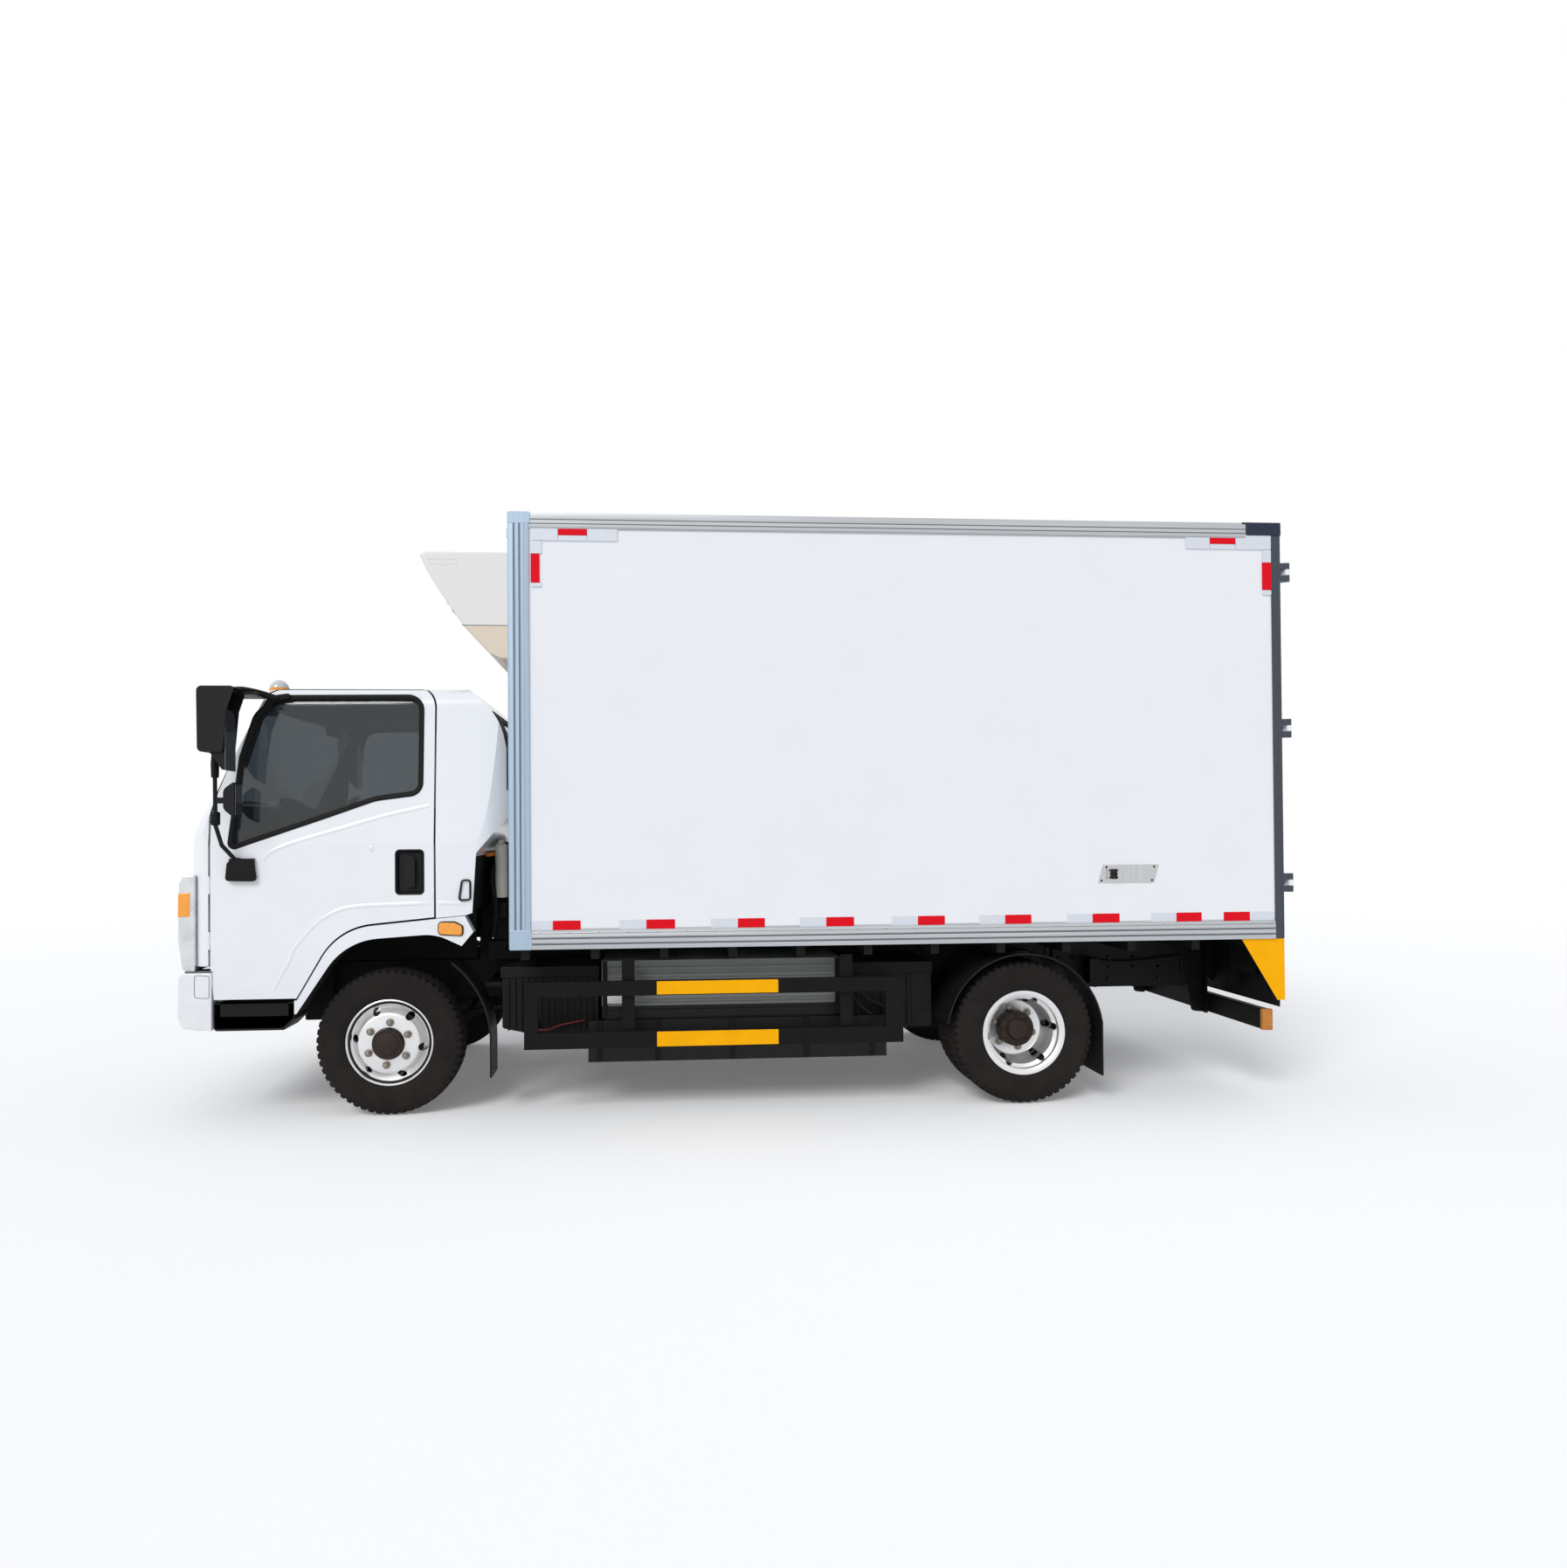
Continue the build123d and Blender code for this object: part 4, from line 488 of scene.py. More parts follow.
def ridge(mesh, points, place, wide, high):
    # Low crease that follows points of (u, v) on a surface
    rings = []
    foot = -2.0
    shoulder = wide * 0.4
    section = ((-wide, foot), (-shoulder, high * 0.6), (0, high), (shoulder, high * 0.6), (wide, foot))
    for i, (u, v) in enumerate(points):
        ahead = Vector(points[min(i + 1, len(points) - 1)])
        behind = Vector(points[max(i - 1, 0)])
        way = (ahead - behind).normalized()
        out = Vector((-way.y, way.x))
        thin = 0.15 if i in (0, len(points) - 1) else 1.0
        ring = []
        for across, proud in section:
            spot = Vector((u, v)) + out * across
            lift = proud if proud < 0 else proud * thin
            ring.append(mesh.verts.new(place(spot.x, spot.y, lift)))
        rings.append(ring)
    band(mesh, rings, False)
    capped(mesh, rings)


def smoothed(points, steps=6):
    # Catmull-Rom curve through points of any dimension
    rows = [Vector(p) for p in points]
    found = []
    for i in range(len(rows) - 1):
        p0, p1, p2 = rows[max(i - 1, 0)], rows[i], rows[i + 1]
        p3 = rows[min(i + 2, len(rows) - 1)]
        for k in range(steps):
            t = k / steps
            found.append(0.5 * (2 * p1 + (p2 - p0) * t + (2 * p0 - 5 * p1 + 4 * p2 - p3) * t * t
                                + (3 * p1 - p0 - 3 * p2 + p3) * t * t * t))
    found.append(rows[-1])
    return found


def lead(mesh, points, radius, sides=12):
    # Hose or cable of a radius in metres, through points in millimetres
    tube(mesh, smoothed([at(*p) for p in points]), radius, sides)


def lining(name, node_name, wanted, paint, body, slot, thick=2.0, cuts=()):
    # Thin cover over the faces of a CAD node that a test picks by centre and normal;
    # cuts are planes of (place, normal) that first part the faces
    mesh = bmesh.new()
    mesh.from_mesh(nodes[node_name].data)
    bmesh.ops.remove_doubles(mesh, verts=mesh.verts, dist=MERGE)
    for place, normal in cuts:
        bmesh.ops.bisect_plane(mesh, geom=mesh.verts[:] + mesh.edges[:] + mesh.faces[:], dist=MERGE,
                               plane_co=place, plane_no=Vector(normal))
    drop = []
    for face in mesh.faces:
        c = face.calc_center_median()
        if not wanted(c.x * 1000 + MID_X, c.y * 1000, c.z * 1000, face.normal):
            drop.append(face)
    bmesh.ops.delete(mesh, geom=drop, context="FACES")
    mesh.normal_update()
    shell = bmesh.ops.extrude_face_region(mesh, geom=mesh.faces[:], use_keep_orig=True)
    for vert in [g for g in shell["geom"] if isinstance(g, bmesh.types.BMVert)]:
        way = Vector((0, 0, 0))
        for face in vert.link_faces:
            way += face.normal * face.calc_area()
        if way.length > 0:
            vert.co += way.normalized() * (thick / 1000)
    piece(name, mesh, paint, body, slot, smooth=25)


# Camera and light

CAMERA_PLACE = Vector((1.3896 - MID_X / 1000, -6.5504, 1.4864))
CAMERA_YAW = -0.07324
CAMERA_PITCH = 0.01043
CAMERA_ROLL = -0.00685
FOCAL_PIXELS = 1204.90
PHOTO_W = 1794
PHOTO_H = 1795
CENTRE_PIXEL = (838, 936)
SENSOR_W = 36
CLIP_END = 200


def add_camera():
    data = bpy.data.cameras.new("photo_camera")
    thing = linked("photo_camera", data)
    cy, sy = math.cos(CAMERA_YAW), math.sin(CAMERA_YAW)
    cp, sp = math.cos(CAMERA_PITCH), math.sin(CAMERA_PITCH)
    cr, sr = math.cos(CAMERA_ROLL), math.sin(CAMERA_ROLL)
    right = Vector((cy, sy, 0))
    ahead = Vector((-sy * cp, cy * cp, sp))
    up = right.cross(ahead)
    turn = Matrix((right * cr + up * sr, up * cr - right * sr, -ahead)).transposed().to_4x4()
    thing.matrix_world = Matrix.Translation(CAMERA_PLACE) @ turn
    data.sensor_fit = "HORIZONTAL"
    data.sensor_width = SENSOR_W
    data.lens = FOCAL_PIXELS * SENSOR_W / PHOTO_W
    data.shift_x = (PHOTO_W / 2 - CENTRE_PIXEL[0]) / PHOTO_W
    data.shift_y = (CENTRE_PIXEL[1] - PHOTO_H / 2) / PHOTO_W
    data.clip_end = CLIP_END
    bpy.context.scene.camera = thing


WORLD_COLOUR = (0.93, 0.96, 1.0, 1)
WHITE = (1, 1, 1, 1)
WORLD_LEVEL = 0.62
SUN_LEVEL = 1.55
SUN_ANGLE = 25
SUN_WAY = (0.42, 0.66, -0.62)
FLOOR_COLOUR = (0.92, 0.92, 0.92, 1)
FLOOR_HALF = 60
FLOOR_Z = -0.001
FLOOR_LIFT = 0.13
FADE_FROM = 4.5
FADE_TO = 16.0


def seen_ray(tree):
    # One for rays from the camera, straight or by way of gloss or glass
    path = tree.nodes.new("ShaderNodeLightPath")
    first = math_node(tree, "MAXIMUM", path.outputs["Is Camera Ray"], path.outputs["Is Glossy Ray"])
    return math_node(tree, "MAXIMUM", first, path.outputs["Is Transmission Ray"])


def glow(tree, kind, colour, strength):
    node = tree.nodes.new(kind)
    node.inputs["Color"].default_value = colour
    node.inputs["Strength"].default_value = strength
    return node


def blend(tree, fac, first, second, out):
    join = tree.nodes.new("ShaderNodeMixShader")
    link(tree, fac, join.inputs["Fac"])
    link(tree, first, join.inputs[1])
    link(tree, second, join.inputs[2])
    link(tree, join.outputs["Shader"], out.inputs["Surface"])


def add_light():
    world = bpy.data.worlds.new("studio")
    bpy.context.scene.world = world
    world.use_nodes = True
    tree = world.node_tree
    tree.nodes.clear()
    out = tree.nodes.new("ShaderNodeOutputWorld")
    soft = glow(tree, "ShaderNodeBackground", WORLD_COLOUR, WORLD_LEVEL)
    white = glow(tree, "ShaderNodeBackground", WHITE, 1.0)
    blend(tree, seen_ray(tree), soft.outputs["Background"], white.outputs["Background"], out)
    data = bpy.data.lights.new("key", "SUN")
    data.energy = SUN_LEVEL
    data.angle = math.radians(SUN_ANGLE)
    key = linked("key", data)
    key.rotation_euler = Vector(SUN_WAY).normalized().to_track_quat("-Z", "Y").to_euler()


def floor_material():
    # Matt white with a little light of its own, which runs into the white backdrop far from the truck
    material = bpy.data.materials.new("floor")
    material.use_nodes = True
    tree = material.node_tree
    tree.nodes.clear()
    out = tree.nodes.new("ShaderNodeOutputMaterial")
    matt = tree.nodes.new("ShaderNodeBsdfDiffuse")
    matt.inputs["Color"].default_value = FLOOR_COLOUR
    lift = glow(tree, "ShaderNodeEmission", WHITE, 1.0)
    link(tree, math_node(tree, "MULTIPLY", seen_ray(tree), FLOOR_LIFT), lift.inputs["Strength"])
    both = tree.nodes.new("ShaderNodeAddShader")
    link(tree, matt.outputs["BSDF"], both.inputs[0])
    link(tree, lift.outputs["Emission"], both.inputs[1])
    coords = tree.nodes.new("ShaderNodeTexCoord")
    far = tree.nodes.new("ShaderNodeVectorMath")
    far.operation = "LENGTH"
    link(tree, coords.outputs["Object"], far.inputs[0])
    edge = remap(tree, far.outputs["Value"], FADE_FROM, FADE_TO, 0.0, 1.0)
    white = glow(tree, "ShaderNodeEmission", WHITE, 1.0)
    blend(tree, math_node(tree, "MULTIPLY", edge, seen_ray(tree), True), both.outputs["Shader"],
          white.outputs["Emission"], out)
    return material


def add_floor():
    mesh = bmesh.new()
    corners = ((-1, -1), (1, -1), (1, 1), (-1, 1))
    mesh.faces.new([mesh.verts.new(Vector((FLOOR_HALF * u, FLOOR_HALF * v, FLOOR_Z))) for u, v in corners])
    data = bpy.data.meshes.new("floor")
    mesh.to_mesh(data)
    mesh.free()
    thing = linked("floor", data)
    data.materials.append(floor_material())


bpy.context.scene.view_settings.view_transform = "Standard"
add_camera()
add_light()
add_floor()


# Tyres with tread

PITCHES = 56
TREAD_STEPS = 6
SIDEWALL = [(76, 203), (77, 222), (80, 229), (86, 236), (91, 252), (94, 272), (95, 298), (93.5, 318),
            (91, 332), (92, 335), (89, 347), (85.5, 357)]
TREAD = [(83, 364), (80, 371), (72, 375.5), (64, 377.5), (56, 378.6), (51, 379), (46.5, 379.2), (42, 379.4),
         (30, 379.8), (18, 380), (13.5, 380), (9, 380), (0, 380)]
GROOVE_DEPTH = 11
GROOVE_BANDS = ((43, 50), (10, 16.5))
SHOULDER = 50.5
SHOULDER_SHARE = 0.9
SHOULDER_NICK = 5
OPEN_STEPS = 2
WAVE = 3.0
FRONT_Y = -840
REAR_OUTER_Y = -935
REAR_INNER_Y = -725


def tread_drop(across, step, edge):
    # How far the tread lies below its crown, with wavy grooves and open shoulders
    wave = WAVE if (step // 3) % 2 else -WAVE
    wide = abs(across + (wave if edge < 0 else -wave))
    if any(inner < wide < outer for inner, outer in GROOVE_BANDS):
        return GROOVE_DEPTH
    if abs(across) > SHOULDER and step < OPEN_STEPS:
        return GROOVE_DEPTH * SHOULDER_SHARE
    return 0.0


def tyre(mesh, x, centre):
    half = SIDEWALL + TREAD
    rows = [(a, r, 1) for a, r in half] + [(-a, r, -1) for a, r in reversed(half[:-1])]
    turns = PITCHES * TREAD_STEPS
    low = len(SIDEWALL)
    high = len(rows) - low
    rings = []
    for i in range(turns):
        angle = 2 * math.pi * i / turns
        step = i % TREAD_STEPS
        c, s = math.cos(angle), math.sin(angle)
        ring = []
        for k, (a, r, edge) in enumerate(rows):
            if low <= k < high:
                r -= tread_drop(a, step, edge)
            elif k in (low - 1, high) and step < OPEN_STEPS:
                r -= SHOULDER_NICK
            ring.append(mesh.verts.new(at(x + r * c, centre + a, AXLE_Z + r * s)))
        rings.append(ring)
    band(mesh, rings)


def front_tyre(mesh):
    tyre(mesh, 0, FRONT_Y)


def rear_tyres(mesh):
    tyre(mesh, WHEELBASE, REAR_OUTER_Y)
    tyre(mesh, WHEELBASE, REAR_INNER_Y)


for side in SIDES:
    thing = sided("road_tyre_front", side, front_tyre, TYRE, "wheel_front_" + side, "tread", smooth=30)
    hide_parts("tyre_front_" + side)
    thing = sided("road_tyre_rear", side, rear_tyres, TYRE, "wheel_rear_" + side, "tread", smooth=30)
    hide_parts("tyre_rear_" + side)


# Rims, nuts and hubs

HOLES = 6
HOLE_R = 21
HOLE_PITCH_R = 174
HOLE_TURN = {0: -8, WHEELBASE: 7}
NUTS = 6
NUT_PITCH_R = 111
NUT_TURN = {0: 25, WHEELBASE: 44}
STUDS = 8
STUD_PITCH_R = 78
FRONT_FACE = FRONT_Y - 105
REAR_PLATE = REAR_OUTER_Y + 95
# Distances from the middle, in metres, within which rim faces get painted shade
FRONT_INNER = 0.800
REAR_INNER = 0.725
RIM = [(105, 60), (105, 146), (103.5, 153), (98, 160), (84, 170), (68, 182), (60, 190), (58, 195), (60, 199),
       (66, 201), (71, 204), (74, 209), (76, 214), (79, 216), (82.5, 218), (83.5, 222), (82, 225), (77, 225),
       (75.5, 219), (73, 209), (68, 205.5), (50, 203.5), (42, 202), (30, 187), (24, 184), (-34, 184),
       (-46, 201), (-70, 203.5), (-75, 210), (-77, 225), (-82.5, 225), (-82.5, 219), (-78, 205), (-72, 196),
       (-50, 193), (-38, 176), (26, 174), (44, 182), (56, 178), (74, 165), (90, 154), (95, 146), (95, 60)]


def rim_rows(centre, way):
    # Polished rim and disc; way is -1 where the disc bulges to the left
    return [(centre + way * a, r) for a, r in RIM]


def around(x, count, radius, turn=0):
    # Places on a circle about a wheel's axis
    for i in range(count):
        angle = 2 * math.pi * i / count + math.radians(turn)
        yield x + radius * math.cos(angle), AXLE_Z + radius * math.sin(angle)


def punched(thing, x, middle, reach):
    # Cuts the hand holes through a rim, as far as the reach on both sides of its middle
    cutter = bmesh.new()
    y0, y1 = middle - reach, middle + reach
    for cx, cz in around(x, HOLES, HOLE_PITCH_R, HOLE_TURN[x]):
        spun(cutter, [(y0, HOLE_R), (y1, HOLE_R), (y1, 0.001), (y0, 0.001)], cx, cz, 24)
    bmesh.ops.recalc_face_normals(cutter, faces=cutter.faces)
    bmesh.ops.remove_doubles(cutter, verts=cutter.verts, dist=MERGE)
    data = bpy.data.meshes.new("cutter")
    cutter.to_mesh(data)
    cutter.free()
    tool = linked("cutter", data)
    cut = thing.modifiers.new("holes", "BOOLEAN")
    cut.operation = "DIFFERENCE"
    cut.solver = "EXACT"
    cut.object = tool
    bpy.context.view_layer.update()
    settle(thing)
    bpy.data.objects.remove(tool)


def paint_inner_shade(thing, inner):
    # Painted shade: faces towards the middle of the truck get the dark cast-iron finish in place of polish,
    # standing for the shade on the rims' inner sides
    thing.data.materials.append(IRON)
    for polygon in thing.data.polygons:
        if abs(polygon.center.y) < inner:
            polygon.material_index = 1


def hub_part(mesh, x, face, rows, turns=64):
    # Rows of (inward from the face, radius)
    spun(mesh, [(face + a, r) for a, r in rows], x, AXLE_Z, turns)


def wheel_nuts(mesh, x, face):
    # Washer, nut and stud end, each with its rows of (inward from the face, radius)
    washer = [(0, 21), (-3, 21), (-4, 19), (-4, 0.01), (0, 0.01)]
    nut = [(-3, 16), (-21, 16), (-23, 14), (-23, 9), (-3, 9)]
    stud = [(-3, 8.5), (-27, 8.5), (-28, 7), (-28, 0.01), (-3, 0.01)]
    for cx, cz in around(x, NUTS, NUT_PITCH_R, NUT_TURN[x]):
        for rows, turns in ((washer, 24), (nut, 6), (stud, 16)):
            spun(mesh, [(face + a, r) for a, r in rows], cx, cz, turns)


def front_rim(mesh):
    spun(mesh, rim_rows(FRONT_Y, -1), 0, AXLE_Z)


def rear_rims(mesh):
    spun(mesh, rim_rows(REAR_OUTER_Y, 1), WHEELBASE, AXLE_Z)
    spun(mesh, rim_rows(REAR_INNER_Y, -1), WHEELBASE, AXLE_Z)


def front_nuts(mesh):
    wheel_nuts(mesh, 0, FRONT_FACE)


def rear_nuts(mesh):
    wheel_nuts(mesh, WHEELBASE, REAR_PLATE)


def front_hub(mesh):
    hub_part(mesh, 0, FRONT_FACE, [(6, 84), (-3, 84), (-5, 82), (-20, 80), (-27, 76), (-27, 60), (-30, 58),
                                   (-34, 50), (-34, 0.01), (6, 0.01)])
    hub_part(mesh, 0, FRONT_FACE, [(10, 152), (130, 152), (130, 138), (25, 138), (25, 60), (10, 60)])
    hub_part(mesh, 0, FRONT_FACE, [(42, 150), (42, 172), (60, 172), (60, 150)])


def rear_hub(mesh):
    hub_part(mesh, WHEELBASE, REAR_PLATE, [(5, 97), (-62, 95), (-68, 92), (-70, 86), (-70, 60), (-82, 56),
                                           (-88, 50), (-90, 0.01), (5, 0.01)])
    bolt = [(REAR_PLATE + a, r) for a, r in ((-69, 8), (-78, 8), (-80, 6), (-80, 0.01), (-69, 0.01))]
    for cx, cz in around(WHEELBASE, STUDS, STUD_PITCH_R):
        spun(mesh, bolt, cx, cz, 6)
    hub_part(mesh, WHEELBASE, REAR_PLATE, [(12, 152), (136, 152), (136, 138), (26, 138), (26, 60), (12, 60)])
    hub_part(mesh, WHEELBASE, REAR_PLATE, [(8, 154), (8, 176), (13, 176), (13, 154)])


for side in SIDES:
    out = -1 if side == "left" else 1
    wheel = "wheel_front_" + side
    rim = sided("polished_rim_front", side, front_rim, POLISHED, wheel, "wheel_metal")
    punched(rim, 0, FRONT_Y * -out, 200)
    paint_inner_shade(rim, FRONT_INNER)
    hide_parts("rim_front_" + side)
    sided("wheel_nuts_front", side, front_nuts, NUT, wheel, "wheel_metal")
    sided("hub_front", side, front_hub, HUB, wheel, "axle_metal")
    wheel = "wheel_rear_" + side
    rim = sided("polished_rim_rear", side, rear_rims, POLISHED, wheel, "wheel_metal")
    punched(rim, WHEELBASE, REAR_OUTER_Y * -out, 400)
    paint_inner_shade(rim, REAR_INNER)
    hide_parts("rim_rear_" + side)
    sided("wheel_nuts_rear", side, rear_nuts, NUT, wheel, "wheel_metal")
    sided("hub_rear", side, rear_hub, HUB, wheel, "axle_metal")


# Cab glass surrounds

CAB_HALF = 980
BELT_Z = 1420
LEAN = (CAB_HALF - 912) / (2235 - BELT_Z)
WINDOW_ROWS = [(-785, 1402, 20), (-738, 1870, 0), (-672, 2090, 110), (-575, 2185, 60), (172, 2190, 70),
               (172, 1685, 60), (-60, 1655, 300), (-310, 1566, 0)]


def cab_side(z):
    return CAB_HALF - max(0.0, z - BELT_Z) * LEAN


def on_side(x, z, proud):
    return at(x, -cab_side(z) - proud, z)


def window_rubber(mesh):
    profile = [(14, -3), (14, 2), (11, 5), (4, 6), (-6, 5), (-12, 1), (-14, -4), (-10, -8)]
    swept_loop(mesh, rounded(WINDOW_ROWS, 8), profile, on_side)


for side in SIDES:
    sided("window_rubber", side, window_rubber, RUBBER, "door_" + side, "black_trim")


# Reflective tapes on the load box; at its two top corners the tape laps over the rail

BOX_SIDE = 1095
EDGE_SIDE = 1100
STRIPE_SIDE = 1055
TAPE_THICK = 1.2
TAPE_SUNK = 0.3
LAP = 6.6
TAPE_Z = (972, 1020)
SILVER_LONG = 138
TAPE_GAP = 2
RED_X = [(865, 1007), (1343, 1491), (1817, 1958), (2280, 2427), (2767, 2911), (3236, 3378), (3712, 3860),
         (4174, 4314), (4437, 4583)]
CORNER_RED = [(902, 1049, 3003, 3049), (762, 806, 2757, 2905), (4381, 4523, 3003, 3049),
              (4674, 4722, 2757, 2904)]
CORNER_SILVER = [(762, 900, 2975, 3049), (1051, 1205, 2975, 3049), (902, 1049, 2975, 3001),
                 (762, 816, 2907, 2973), (762, 816, 2736, 2755), (4245, 4379, 2975, 3049),
                 (4525, 4722, 2975, 3049), (4381, 4523, 2975, 3001), (4674, 4722, 2906, 2973),
                 (4674, 4722, 2730, 2755)]


def tape(mesh, x0, x1, z0, z1, side_y=BOX_SIDE, thick=TAPE_THICK):
    ring = [at(p.x, -side_y - thick, p.y) for p in rounded(oblong(x0, x1, z0, z1, 3), 3)]
    hull(mesh, ring, Vector((0, (thick + TAPE_SUNK) / 1000, 0)))


def red_tapes(mesh):
    for x0, x1 in RED_X:
        tape(mesh, x0, x1, *TAPE_Z)
    for box in CORNER_RED:
        tape(mesh, *box, thick=LAP)


def silver_tapes(mesh):
    for x0, _ in RED_X[:-1]:
        tape(mesh, x0 - TAPE_GAP - SILVER_LONG, x0 - TAPE_GAP, *TAPE_Z)
    tape(mesh, 4585, 4722, *TAPE_Z)
    for box in CORNER_SILVER:
        tape(mesh, *box, thick=LAP)


def yellow_marks(mesh):
    for z0, z1 in ((627, 695), (357, 434)):
        tape(mesh, 1395, 2030, z0, z1, side_y=STRIPE_SIDE)
    rows = [(4536, 874), (4775, 874), (4775, 543), (4733, 543)]
    hull(mesh, [at(x, -1096, z) for x, z in rows], Vector((0, 0.0028, 0)))


pair("tapes_red", red_tapes, TAPE_RED, "chassis", "red_lamp")
pair("tapes_silver", silver_tapes, TAPE_SILVER, "chassis", "edge_metal")
pair("yellow_marks", yellow_marks, YELLOW, "chassis", "white_panel")


# Linings inside the cab and doors

LEAF_OUT = 14
LOW_REAR_Z = 1352
FRAME_HALF = 880
FRAME_Z = (1700, 2120)


def inside_cab(x, y, z, normal):
    if z < 975 or abs(y) > 925 or x < -952 or x > 575 or z > 2245:
        return False
    towards = Vector((-200 - x, -y * 0.6, 1700 - z)).normalized()
    return normal.dot(towards) > 0.12


def under_cab(x, y, z, normal):
    if z > 1112 or x > 470:
        return False
    if normal.z < -0.3:
        return True
    return abs(y) < 925 and x > -968


def low_rear(x, y, z, normal):
    return x > 380 and z < LOW_REAR_Z and normal.x > 0.2


def inside_flare(x, y, z, normal):
    out = 1 if y > 0 else -1
    return normal.y * out < 0.3 and (normal.z < -0.1 or normal.y * out < -0.5)


def rear_band(x, y, z, normal):
    return x > 430 and abs(y) < FRAME_HALF and FRAME_Z[0] < z < FRAME_Z[1] and normal.x > 0.35


def inside_door(x, y, z, normal):
    wide = cab_side(z)
    return abs(y) < wide - LEAF_OUT and normal.y * (1 if y < 0 else -1) > -0.35 and x > -905


def arch_liners(mesh):
    # Liner over the wheels, skirt behind them and a wall across
    side_slab(mesh, [(-430, 776, 10), (-430, 1096, 10), (392, 1096, 10), (392, 776, 10)], -566, -560)
    side_slab(mesh, [(-570, 430, 10), (-570, 800, 10), (-418, 800, 10), (-418, 430, 40)], -480, -474)
    mirrored(mesh)
    front_slab(mesh, oblong(-905, 905, 936, 1112, 10), 384, 392)


def door_card(mesh):
    # Door card with armrest, window switches and grab handle
    rows = [(-850, 700, 30), (-850, 1290, 60), (-700, 1340, 60), (215, 1345, 40), (215, 1080, 40),
            (-230, 1040, 250), (-430, 700, 60)]
    side_slab(mesh, rows, -916, -904)
    side_slab(mesh, [(-640, 1180, 20), (-640, 1235, 24), (60, 1235, 24), (60, 1190, 20)], -904, -848)
    side_slab(mesh, [(-600, 1235, 4), (-600, 1248, 6), (-440, 1248, 6), (-440, 1235, 4)], -890, -862)
    handle = [(-800, -904, 1120), (-790, -870, 1180), (-770, -866, 1290), (-760, -904, 1330)]
    tube(mesh, [at(x, y, z) for x, y, z in smoothed(handle)], 0.012, 10)


lining("cab_lining", "cab_shell", inside_cab, LINING, "cab", "cabin_plastic")
lining("cab_undercoat", "cab_shell", under_cab, UNDERCOAT, "cab", "dark_frame", 1.5)
lining("rear_undercoat", "cab_shell", low_rear, UNDERCOAT, "cab", "dark_frame", 2.0,
       [(at(0, 0, LOW_REAR_Z), (0, 0, 1))])
whole("arch_liners", arch_liners, UNDERCOAT, "cab", "dark_frame")
lining("arch_undercoat", "arch_flares", inside_flare, UNDERCOAT, "cab", "dark_frame", 1.2)
lining("rear_window_frame", "cab_shell", rear_band, RUBBER, "cab", "black_trim", 3.0,
       [(at(0, -FRAME_HALF, 0), (0, 1, 0)), (at(0, FRAME_HALF, 0), (0, 1, 0)),
        (at(0, 0, FRAME_Z[0]), (0, 0, 1)), (at(0, 0, FRAME_Z[1]), (0, 0, 1))])
for side in SIDES:
    door = "door_" + side
    lining("door_lining_" + side, door, inside_door, LINING, door, "cabin_plastic", 1.0)
    sided("door_card", side, door_card, DASH, door, "cabin_plastic", bevel=3)


# Door and cab side lines

DOOR_LINE = [(-624, 1335), (-576, 1384), (-444, 1437), (-240, 1497), (-26, 1560), (100, 1590), (225, 1618)]
ARCH_LINE = [(-577, 660), (-485, 831), (-468, 880), (-362, 1004), (-260, 1070), (-155, 1096), (40, 1104),
             (225, 1109)]


def crease(mesh, points, wide, high):
    ridge(mesh, [tuple(p) for p in smoothed(points, 4)], on_side, wide, high)


def door_lines(mesh):
    crease(mesh, DOOR_LINE, 16, 4.5)
    crease(mesh, ARCH_LINE, 15, 4.0)


def door_lock(mesh):
    turned(mesh, on_side(-75, 1393, 0), (0, -1, 0),
           [(-1, 0.01), (-1, 15), (1.5, 15), (2.5, 13), (2.5, 9), (1.8, 8), (1.8, 0.01)], 24)
    block(mesh, -77, -73, -CAB_HALF - 2.4, -CAB_HALF - 1, 1386, 1400)


def handle_trim(mesh):
    # Pull handle in its dished plate
    swept_loop(mesh, rounded(oblong(47, 192, 1156, 1388, 22)),
               [(3, -6), (3, 1.5), (0, 3), (-6, 2), (-14, -14), (-14, -18), (-4, -18)], on_side)
    side_slab(mesh, oblong(96, 148, 1192, 1352, 14), -CAB_HALF - 7, -CAB_HALF + 12)


def cab_line(mesh):
    crease(mesh, [(262, 1110), (340, 1107), (418, 1103)], 15, 4.0)


def rear_edge_vent(mesh):
    loop = [(366, 1118, 18), (434, 1122, 18), (434, 1232, 18), (384, 1232, 18)]
    swept_loop(mesh, rounded(loop), [(0, -4), (0, 10), (-3, 12), (-7, 12), (-9, 9), (-9, -4)], on_side)


def marker_bezel(mesh):
    frame_rows = [(268, 948, 16), (392, 940, 14), (392, 990, 14), (350, 1012, 30), (268, 1012, 20)]
    swept_loop(mesh, rounded(frame_rows), [(3, 6), (3, 13), (0, 16), (-4, 14), (-4, 6)], on_side)


def marker_lens(mesh):
    side_slab(mesh, [(270, 950, 15), (389, 942, 13), (389, 989, 13), (350, 1009, 28), (270, 1009, 18)],
              -CAB_HALF - 22, -CAB_HALF - 7)


for side in SIDES:
    door = "door_" + side
    sided("door_lines", side, door_lines, WHITE_PAINT, door, "white_cab")
    sided("door_lock", side, door_lock, CHROME, door, "steel_gear")
    sided("handle_trim", side, handle_trim, BLACK_PLASTIC, door, "black_trim", bevel=3)
    sided("cab_line", side, cab_line, WHITE_PAINT, "cab", "white_cab")
    sided("rear_edge_vent", side, rear_edge_vent, BLACK_PLASTIC, "cab", "black_trim")
    sided("marker_bezel", side, marker_bezel, BLACK_PLASTIC, "cab", "black_trim")
    sided("marker_lens", side, marker_lens, AMBER, "cab", "red_lamp", bevel=4)


# Windscreen surround, wipers and front face

